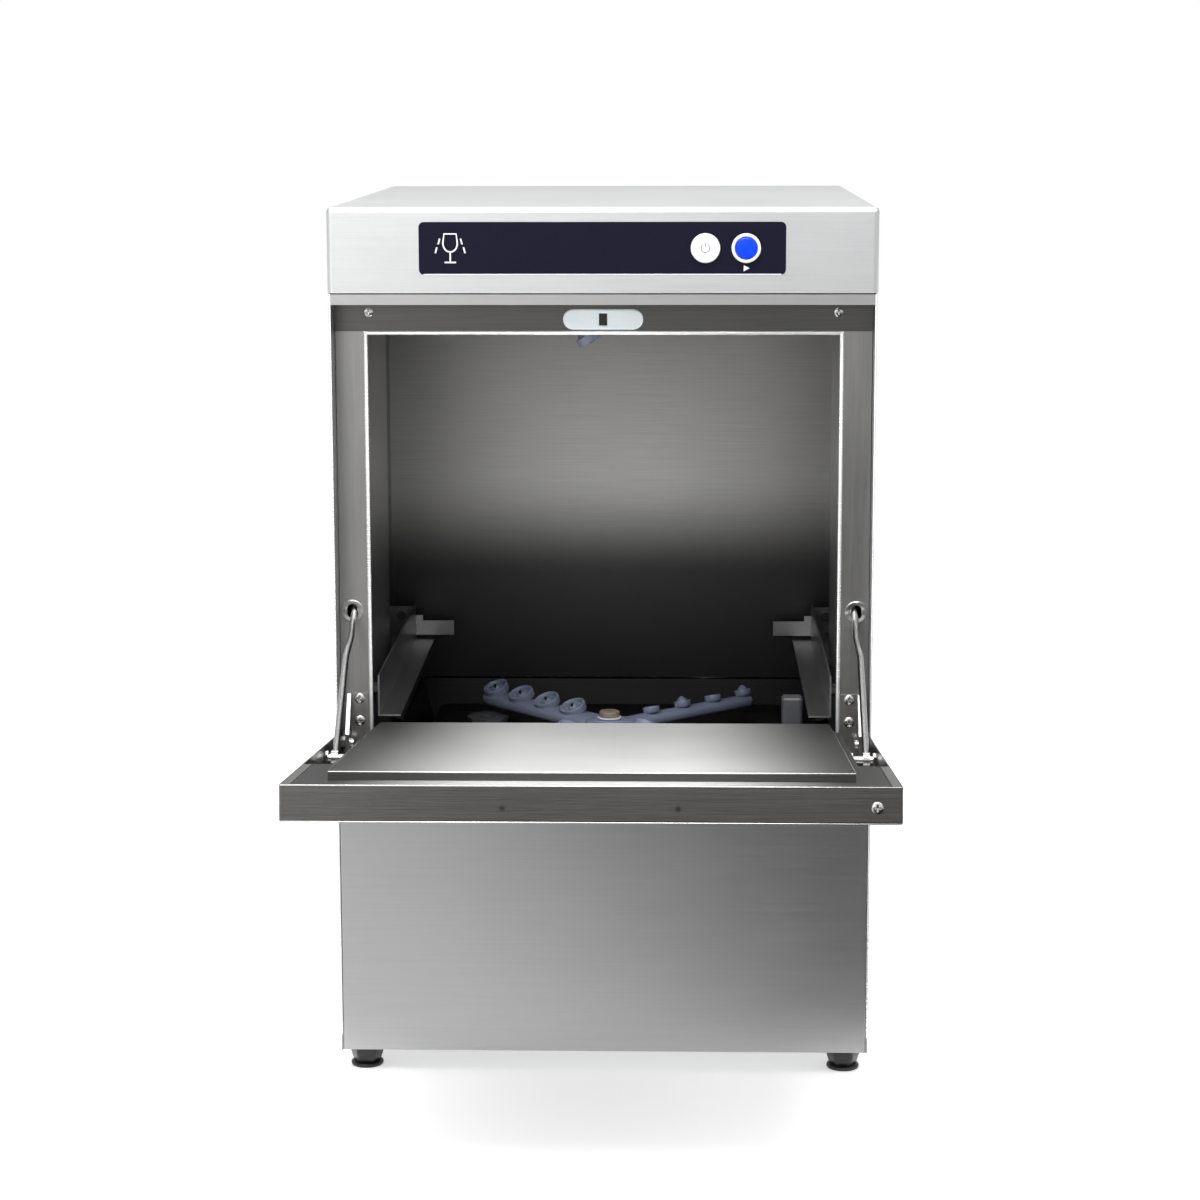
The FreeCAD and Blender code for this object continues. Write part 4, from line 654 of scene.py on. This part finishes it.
def gripRing(height, size):
    # four points to a grip, two on its crest and two in the groove beside it
    count = 4 * nut["grips"]
    points = []
    for k in range(count):
        radius = nut["radius"] * size * (1 - nut["gripDepth"] * (k % 4 > 1))
        a = math.tau * k / count
        points.append((radius * math.cos(a), radius * math.sin(a), height))
    return points


bm = bmesh.new()
loft(bm, standAt(hubCentre, up), [gripRing(washerTop - 0.4, 0.97), gripRing(washerTop + 0.6, 1.0),
                                  gripRing(nutTop - 1.2, 1.0), gripRing(nutTop - 0.3, 0.96),
                                  gripRing(nutTop, 0.86), gripRing(nutTop, 0.5)])
lathe(bm, standAt(hubCentre, up), [(0, nutTop - 1), (2.0, nutTop - 1), (2.0, nutTop), (1.2, nutTop),
                                   (0, nutTop - 0.3)], 24)
lathe(bm, standAt(hubCentre, up), [(0, nutBase), (4, nutBase), (4, washerTop - 1), (0, washerTop - 1)], 24)
finishPiece("rotorNutKnurled", bm, "nut_plastic", "cabinet", ["rotor_nut"])
bm = bmesh.new()
w = nut["washerRadius"]
washerBase = washerTop - nut["washerThick"]
lathe(bm, standAt(hubCentre, up), [(0, washerBase), (w - 0.4, washerBase), (w, washerTop - 0.9),
                                   (w, washerTop - 0.4), (w - 0.5, washerTop), (0, washerTop)], 56)
finishPiece("rotorWasher", bm, "button_white", "cabinet")
print("rotors made")

latch = {"length": 62.0, "height": 16.0, "windowWide": 6.4, "windowTall": 9.4, "points": 96}
latchLow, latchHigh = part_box("latch_cover")
latchMid = (latchLow + latchHigh) / 2
thick = (latchHigh.y - latchLow.y) / mm
face = standAt((latchMid.x, latchHigh.y, latchMid.z), forward)


def stadium(inset, height):
    reach, radius = latch["length"] / 2, latch["height"] / 2
    count = latch["points"]
    points = []
    for k in range(count):
        c, s = math.cos(math.tau * k / count), math.sin(math.tau * k / count)
        # where this direction meets the straight sides or the round ends
        flat = radius / abs(s) if abs(s) > 1e-6 else 1e9
        if abs(flat * c) > reach - radius:
            mid = (reach - radius) * abs(c)
            flat = mid + math.sqrt(max(0, mid * mid - (reach - radius) ** 2 + radius ** 2))
        x, y = flat * c, flat * s
        points.append((x * (1 - inset / reach), y * (1 - inset / radius), height))
    return points


def windowRing(grow, height):
    wide, tall = latch["windowWide"] / 2 + grow, latch["windowTall"] / 2 + grow
    count = latch["points"]
    points = []
    for k in range(count):
        c, s = math.cos(math.tau * k / count), math.sin(math.tau * k / count)
        reach = min(wide / abs(c) if abs(c) > 1e-6 else 1e9, tall / abs(s) if abs(s) > 1e-6 else 1e9)
        points.append((reach * c, reach * s, height))
    return points


def hoopLoft(bm, place, outlines):
    # a ring-shaped solid: the last outline joins on to the first
    rings = [[bm.verts.new(place @ Vector(p)) for p in outline] for outline in outlines]
    for first, second in zip(rings, rings[1:] + rings[:1]):
        for k in range(len(first)):
            nextK = (k + 1) % len(first)
            bm.faces.new([first[k], first[nextK], second[nextK], second[k]])


bm = bmesh.new()
hoopLoft(bm, face, [stadium(0.1, 0), stadium(0, 0.3), stadium(0, thick * 0.5), stadium(0.25, thick * 0.75),
                    stadium(0.8, thick * 0.93), stadium(1.8, thick), windowRing(0.7, thick),
                    windowRing(0.25, thick - 0.1), windowRing(0, thick - 0.35), windowRing(0, 0)])
finishPiece("latchCoverPlate", bm, "latch_plastic", "cabinet", ["latch_cover"], 40)

grommet = {"slotWide": 8.1, "slotTall": 11.2, "slotRound": 3.9, "rim": 1.4}
bm = bmesh.new()
for low, high in islands("stay_grommets"):
    mid = (low + high) / 2
    deep = (high.y - low.y) / mm
    face = standAt((mid.x, high.y, mid.z), forward)
    wide, tall = (high.x - low.x) / mm, (high.z - low.z) / mm
    rims = [rounded(wide, tall, wide / 2 - 0.1, h, 10) for h in (0, deep - 0.5)]
    rims.append(rounded(wide - 1.2, tall - 1.2, wide / 2 - 0.8, deep, 10))
    slotWide, slotTall, rim = grommet["slotWide"], grommet["slotTall"], grommet["rim"]
    lip = rounded(slotWide + rim, slotTall + rim, grommet["slotRound"] + 0.6, deep, 10)
    slots = [rounded(slotWide, slotTall, grommet["slotRound"], h, 10) for h in (deep - 0.6, 0)]
    hoopLoft(bm, face, rims + [lip] + slots)
finishPiece("stayGrommets", bm, "frame_steel", "cabinet", ["stay_grommets"], 40)
print("latch and grommets made")

screw = {"crossLong": 0.56, "crossWide": 0.15, "slotWide": 0.13, "depth": 0.55, "rings": 13, "turns": 48,
         "doorRise": 7.06, "doorHead": 1.6}


def screwHead(bm, place, radius, height, slotted):
    # a domed head whose drive recess is pressed into the same surface
    floor = height * (1 - screw["depth"])
    rings = [[bm.verts.new(place @ Vector((0, 0, floor)))]]
    for i in range(1, screw["rings"] + 1):
        share = i / screw["rings"]
        ring = []
        for k in range(screw["turns"]):
            a = math.tau * (k + 0.5) / screw["turns"]
            x, y = share * math.cos(a), share * math.sin(a)
            z = height * (0.35 + 0.65 * math.sqrt(max(0, 1 - share ** 2)))
            if slotted:
                sunk = abs(x) < screw["slotWide"]
            else:
                sunk = max(abs(x), abs(y)) < screw["crossLong"] and min(abs(x), abs(y)) < screw["crossWide"]
            if sunk and share < 0.97:
                z = min(z, floor + height * 0.2 * share)
            ring.append(bm.verts.new(place @ Vector((x * radius, y * radius, z))))
        rings.append(ring)
    rings.append([bm.verts.new(place @ Vector((radius * math.cos(math.tau * (k + 0.5) / screw["turns"]),
                                               radius * math.sin(math.tau * (k + 0.5) / screw["turns"]), 0)))
                  for k in range(screw["turns"])])
    joinRings(bm, rings)


boxMiddle = (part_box("side_panel_left")[0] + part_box("side_panel_left")[1]) / 2


def headsFor(node, slotted, body, name):
    bm = bmesh.new()
    for low, high in islands(node):
        size = high - low
        centre = (low + high) / 2
        gaps = [abs(size[(k + 1) % 3] - size[(k + 2) % 3]) for k in range(3)]
        axis = gaps.index(min(gaps))   # the two equal sizes are the head's diameter
        outward = -1 if centre[axis] < (0 if axis == 0 else boxMiddle[axis]) else 1
        direction = Vector([outward if k == axis else 0 for k in range(3)])
        base = centre.copy()
        base[axis] = low[axis] if outward > 0 else high[axis]
        side = up if axis != 2 else Vector((1, 0, 0))
        screwHead(bm, standAt(base, direction, side), size[(axis + 1) % 3] / mm / 2, size[axis] / mm, slotted)
    finishPiece(name, bm, "bright_steel", body, [node], 40)


headsFor("cross_screws", False, "cabinet", "crossScrewHeads")
headsFor("slotted_screws", True, "cabinet", "slottedScrewHeads")
# the way the open door points, out of its front edge
doorSlope = Vector((0, -math.cos(math.radians(screw["doorRise"])), math.sin(math.radians(screw["doorRise"]))))
low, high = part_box("door_screw")
bm = bmesh.new()
rise = screw["doorHead"]
face = standAt((low + high) / 2 - doorSlope * rise / 2 * mm, doorSlope)
screwHead(bm, face, (high.x - low.x) / mm / 2, rise, False)
finishPiece("doorScrewHead", bm, "bright_steel", "door", ["door_screw"], 40)
print("screws made")

fold = {"radius": 0.55, "shoulder": 0.7, "ease": 0.5, "turns": 12, "inset": 0.35, "short": 0.6,
        "length": 342.3, "half": 207.5, "rim": 9.3, "outer": -15.7, "linerHalf": 178.0, "linerFront": 316.3,
        "linerRise": 6.0, "linerBack": 40.0}
swing = next(joint for joint in frame["joints"] if joint["name"] == "door_swing")
hinge = Vector(swing["pos_m"])
upright = Vector((0, doorSlope.z, -doorSlope.y))


def doorPoint(across, along, over):
    return hinge + Vector((across, 0, 0)) * mm + doorSlope * along * mm + upright * over * mm


def brightLine(bm, start, end, look):
    # a round line with eased ends
    length = (end - start).length / mm
    radius, shoulder, ease = look["radius"], look["radius"] * look["shoulder"], look["ease"]
    side = up if abs((end - start).normalized().z) < 0.9 else forward
    lathe(bm, standAt(start, end - start, side),
          [(0, 0), (shoulder, ease * 0.2), (radius, ease), (radius, length - ease),
           (shoulder, length - ease * 0.2), (0, length)], look["turns"])


inset, top = fold["inset"], fold["rim"] + fold["linerRise"] - fold["inset"]
front, rim = fold["linerFront"] - inset, fold["rim"] - inset
bm = bmesh.new()
brightLine(bm, doorPoint(-fold["linerHalf"], front, top), doorPoint(fold["linerHalf"], front, top), fold)
for side in (-1, 1):
    x = side * (fold["linerHalf"] - inset)
    brightLine(bm, doorPoint(x, fold["linerBack"], top), doorPoint(x, front, top), fold)
    x = side * (fold["half"] - inset)
    brightLine(bm, doorPoint(x, fold["linerBack"], rim), doorPoint(x, fold["length"] - inset, rim), fold)
x, end = fold["half"] - fold["short"], fold["length"] - inset
for over in (rim, fold["outer"] + inset):
    brightLine(bm, doorPoint(-x, end, over), doorPoint(x, end, over), fold)
finishPiece("doorFolds", bm, "bright_steel", "door")

# a bright rolled bead round the opening, and the turned front edges of the side panels; their near-white
# finish is painted highlight
bead = {"radius": 1.5, "shoulder": 0.8, "ease": 1.0, "turns": 20, "sunk": 0.9}
panelEdge = dict(bead, radius=0.7, sunk=0.5, low=31.0, high=620.5)
lipLow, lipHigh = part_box("opening_lip")
panelLow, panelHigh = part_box("side_panel_left")
x = lipHigh.x - bead["radius"] * mm
y = lipLow.y + bead["sunk"] * mm
z = lipHigh.z - bead["radius"] * mm
edgeX = max(abs(panelHigh.x), abs(panelLow.x)) - panelEdge["radius"] * mm
edgeY = panelLow.y + panelEdge["sunk"] * mm
bm = bmesh.new()
for side in (-1, 1):
    brightLine(bm, Vector((side * x, y, lipLow.z)), Vector((side * x, y, z)), bead)
    brightLine(bm, Vector((side * edgeX, edgeY, panelEdge["low"] * mm)),
               Vector((side * edgeX, edgeY, panelEdge["high"] * mm)), panelEdge)
brightLine(bm, Vector((-x, y, z)), Vector((x, y, z)), bead)
finishPiece("openingBeads", bm, "polished_edge", "cabinet")
print("folds and beads made")

spring = {"wire": 1.6, "pitch": 4.4, "steps": 22, "round": 8, "closed": 0.42}
bm = bmesh.new()
for low, high in islands("stay_springs"):
    wide, deep, tall = (high - low) / mm
    run, drop = deep, tall
    for _ in range(4):   # the box is the line's own size plus the round ends
        length = math.hypot(run, drop)
        run, drop = deep - wide * drop / length, tall - wide * run / length
    middle = (low + high) / 2
    fall = Vector((0, run, -drop)).normalized()
    length = math.hypot(run, drop)
    place = standAt(middle - fall * length / 2 * mm, fall)
    wire = spring["wire"] / 2
    radius = wide / 2 - wire
    turns = length / spring["pitch"]
    count = int(turns * spring["steps"])
    rings = []
    for k in range(count + 1):
        a = math.tau * turns * k / count
        outward = Vector((math.cos(a), math.sin(a), 0))
        mid = outward * radius + up * (wire + (length - 2 * wire) * k / count)
        corners = [math.tau * j / spring["round"] for j in range(spring["round"])]
        rings.append([bm.verts.new(place @ (mid + outward * wire * math.cos(b) + up * wire * math.sin(b)))
                      for b in corners])
    joinRings(bm, rings)
springs = finishPiece("stayExtensionSprings", bm, "bright_steel", "cabinet", ["stay_springs"], 60)
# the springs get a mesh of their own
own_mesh(springs)
print("springs made")

foot = {"flats": 23.5, "sole": 13.0, "taper": 7.0, "height": 18.6, "stud": 5.0, "thread": 1.25}


def hexRing(flats, corner, height, count=72):
    points = []
    for k in range(count):
        a = math.tau * k / count
        within = (a + math.pi / 6) % (math.pi / 3) - math.pi / 6
        radius = min(flats / 2 / math.cos(within), corner)
        points.append((radius * math.cos(a), radius * math.sin(a), height))
    return points


for body in ("foot_front_left", "foot_front_right", "foot_rear_left", "foot_rear_right"):
    low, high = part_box(body)   # the node has the body's name
    centre = Vector(((low.x + high.x) / 2, (low.y + high.y) / 2, low.z))
    place = standAt(centre, up, heading(30))
    flats, sole, height = foot["flats"], foot["sole"], foot["height"]
    bm = bmesh.new()
    lathe(bm, place, [(0, 0), (sole - 1.2, 0), (sole - 0.3, 0.3), (sole, 1.1), (sole, 2.2), (sole - 0.5, 2.9),
                      (sole - 1.6, 3.4), (0, 3.4)], 56)
    loft(bm, place, [hexRing(flats * 0.8, flats * 0.44, 3.0), hexRing(flats * 0.84, flats * 0.46, 4.0),
                     hexRing(flats * 0.98, flats * 0.545, foot["taper"] + 3),
                     hexRing(flats, flats * 0.56, foot["taper"] + 4),
                     hexRing(flats, flats * 0.56, height - 1.2),
                     hexRing(flats * 0.95, flats * 0.53, height), hexRing(flats * 0.4, flats * 0.2, height)])
    top = (high.z - low.z) / mm
    z = height - 0.4
    thread = [(0, z)]
    while z < top - 0.8:
        thread += [(foot["stud"] - 0.5, z), (foot["stud"], z + 0.4)]
        z += foot["thread"]
    thread += [(foot["stud"] - 0.6, top), (0, top)]
    lathe(bm, place, thread, 28)
    finishPiece(body + "Moulded", bm, "black_plastic", body, [body], 36)
print("feet made")

stageLook = {"floorSize": 14.0, "floorGlow": 0.47, "cardDistance": -2.6, "cardHalf": 2.6, "cardLow": -0.2,
             "cardHigh": 2.2, "clothHalf": 2.2, "clothBack": -0.16, "clothRise": 0.002}


def stageSheet(name, corners, finish):
    bm = bmesh.new()
    bm.faces.new([bm.verts.new(c) for c in corners])
    mesh = bpy.data.meshes.new(name)
    bm.to_mesh(mesh)
    bm.free()
    mesh.materials.append(finish)
    sheet = bpy.data.objects.new(name, mesh)
    bpy.context.scene.collection.objects.link(sheet)
    return sheet


def startGlow(name):
    # an emissive finish, with the object's own coordinates split
    finish = bpy.data.materials.new(name)
    finish.use_nodes = True
    tree = finish.node_tree
    tree.nodes.clear()
    place = addNode(tree, "ShaderNodeTexCoord")
    return finish, tree, addNode(tree, "ShaderNodeSeparateXYZ", {}, {"Vector": place.outputs["Object"]})


finish, tree, shader, place = startFinish("mattPaperFloor")
tooth = addNode(tree, "ShaderNodeTexNoise", {}, {"Vector": place.outputs["Object"], "Scale": 2.0})
tone = mixTones(tree, tooth.outputs["Fac"], linear("#F6F6F6"), linear("#F8F8F8"))
fillSockets(tree, shader, {"Base Color": tone, "Roughness": 0.9, "Specular IOR Level": 0.0,
                           "Emission Color": (1, 1, 1, 1), "Emission Strength": stageLook["floorGlow"]})
half = stageLook["floorSize"] / 2
stageSheet("floor", [(-half, -half, 0), (half, -half, 0), (half, half, 0), (-half, half, 0)], finish)

# a tall lit card in front, dark near the floor and bright above, as the steel's fronts see a studio
cardTones = [(0.0, 0.10), (0.175, 0.25), (0.215, 0.6), (0.26, 0.95), (0.4, 1.0), (1.0, 1.0)]
finish, tree, split = startGlow("studioCard")
rise = addNode(tree, "ShaderNodeMapRange", {}, {"Value": split.outputs["Z"], "From Min": 0.0,
                                                "From Max": 2.0})
ramp = addNode(tree, "ShaderNodeValToRGB", {}, {"Fac": rise.outputs["Result"]})
while len(ramp.color_ramp.elements) < len(cardTones):
    ramp.color_ramp.elements.new(1.0)
for element, (position, value) in zip(ramp.color_ramp.elements, cardTones):
    element.position = position
    element.color = (value, value, value, 1)
across = addNode(tree, "ShaderNodeMapRange", {}, {"Value": split.outputs["X"], "From Min": -0.8,
                                                  "From Max": 0.15, "To Min": 1.95, "To Max": 1.08})
card = addNode(tree, "ShaderNodeEmission", {}, {"Color": ramp.outputs["Color"],
                                                "Strength": across.outputs["Result"]})
addNode(tree, "ShaderNodeOutputMaterial", {}, {"Surface": card.outputs["Emission"]})
y, x = stageLook["cardDistance"], stageLook["cardHalf"]
low, high = stageLook["cardLow"], stageLook["cardHigh"]
sheets = [stageSheet("studioCard", [(-x, y, low), (x, y, low), (x, y, high), (-x, y, high)], finish)]

# a dark cloth on the floor further forward, seen only in reflections, most of all by the lower panels
finish, tree, split = startGlow("darkCloth")
lean = addNode(tree, "ShaderNodeMath", {"operation": "MULTIPLY_ADD"},
               {0: split.outputs["X"], 1: -3.0, 2: split.outputs["Y"]})
rise = addNode(tree, "ShaderNodeMapRange", {"interpolation_type": "SMOOTHSTEP"},
               {"Value": lean.outputs["Value"], "From Min": -1.35, "From Max": 0.2, "To Min": 0.02,
                "To Max": 1.0})
cloth = addNode(tree, "ShaderNodeEmission", {}, {"Strength": rise.outputs["Result"]})
addNode(tree, "ShaderNodeOutputMaterial", {}, {"Surface": cloth.outputs["Emission"]})
x, back, z = stageLook["clothHalf"], stageLook["clothBack"], stageLook["clothRise"]
sheets.append(stageSheet("darkCloth", [(-x, y, z), (x, y, z), (x, back, z), (-x, back, z)], finish))
for sheet in sheets:
    sheet.visible_camera = False
    sheet.visible_shadow = False
    sheet.visible_diffuse = False

# a white room, softer as light than it looks behind the object
skyLook = {"light": 0.56, "seen": 1.0}
world = bpy.data.worlds.new("softRoom")
bpy.context.scene.world = world
world.use_nodes = True
ray = addNode(world.node_tree, "ShaderNodeLightPath")
bright = addNode(world.node_tree, "ShaderNodeMapRange", {}, {"Value": ray.outputs["Is Camera Ray"],
                                                             "To Min": skyLook["light"],
                                                             "To Max": skyLook["seen"]})
fillSockets(world.node_tree, world.node_tree.nodes["Background"], {"Color": (1, 1, 1, 1),
                                                                   "Strength": bright.outputs["Result"]})

softBoxes = {
    "keyBox": {"at": (-0.9, -1.2, 2.3), "size": (1.8, 1.4), "watts": 26},
    "fillBox": {"at": (1.5, -0.9, 2.0), "size": (1.2, 1.2), "watts": 10},
    "doorBox": {"at": (0.0, -0.95, 1.9), "size": (1.3, 0.8), "watts": 36},
    "topBox": {"at": (0.0, 1.1, 2.6), "size": (2.6, 1.4), "watts": 24},
}
boxesFace = Vector((0, 0, 0.35))   # about the middle of the machine
for name, box in softBoxes.items():
    data = bpy.data.lights.new(name, "AREA")
    data.shape = "RECTANGLE"
    data.size, data.size_y = box["size"]
    data.energy = box["watts"]
    lamp = bpy.data.objects.new(name, data)
    bpy.context.scene.collection.objects.link(lamp)
    lamp.location = box["at"]
    lamp.rotation_euler = (boxesFace - lamp.location).to_track_quat("-Z", "Y").to_euler()

cameraLook = {"at": (0.05726, -2.21596, 0.77205), "turn": 0.02792, "down": 9.183, "roll": -0.00225,
              "lens": 83.67, "sensor": 36.0, "shift": -0.0475}
data = bpy.data.cameras.new("studioCamera")
data.lens, data.sensor_width, data.shift_y = cameraLook["lens"], cameraLook["sensor"], cameraLook["shift"]
camera = bpy.data.objects.new("studioCamera", data)
bpy.context.scene.collection.objects.link(camera)
camera.matrix_world = (Matrix.Translation(cameraLook["at"]) @ Matrix.Rotation(cameraLook["turn"], 4, "Z")
                       @ Matrix.Rotation(math.radians(90 - cameraLook["down"]), 4, "X")
                       @ Matrix.Rotation(cameraLook["roll"], 4, "Z"))
bpy.context.scene.camera = camera
bpy.context.scene.view_settings.view_transform = "Standard"
print("stage set")

bpy.context.view_layer.update()
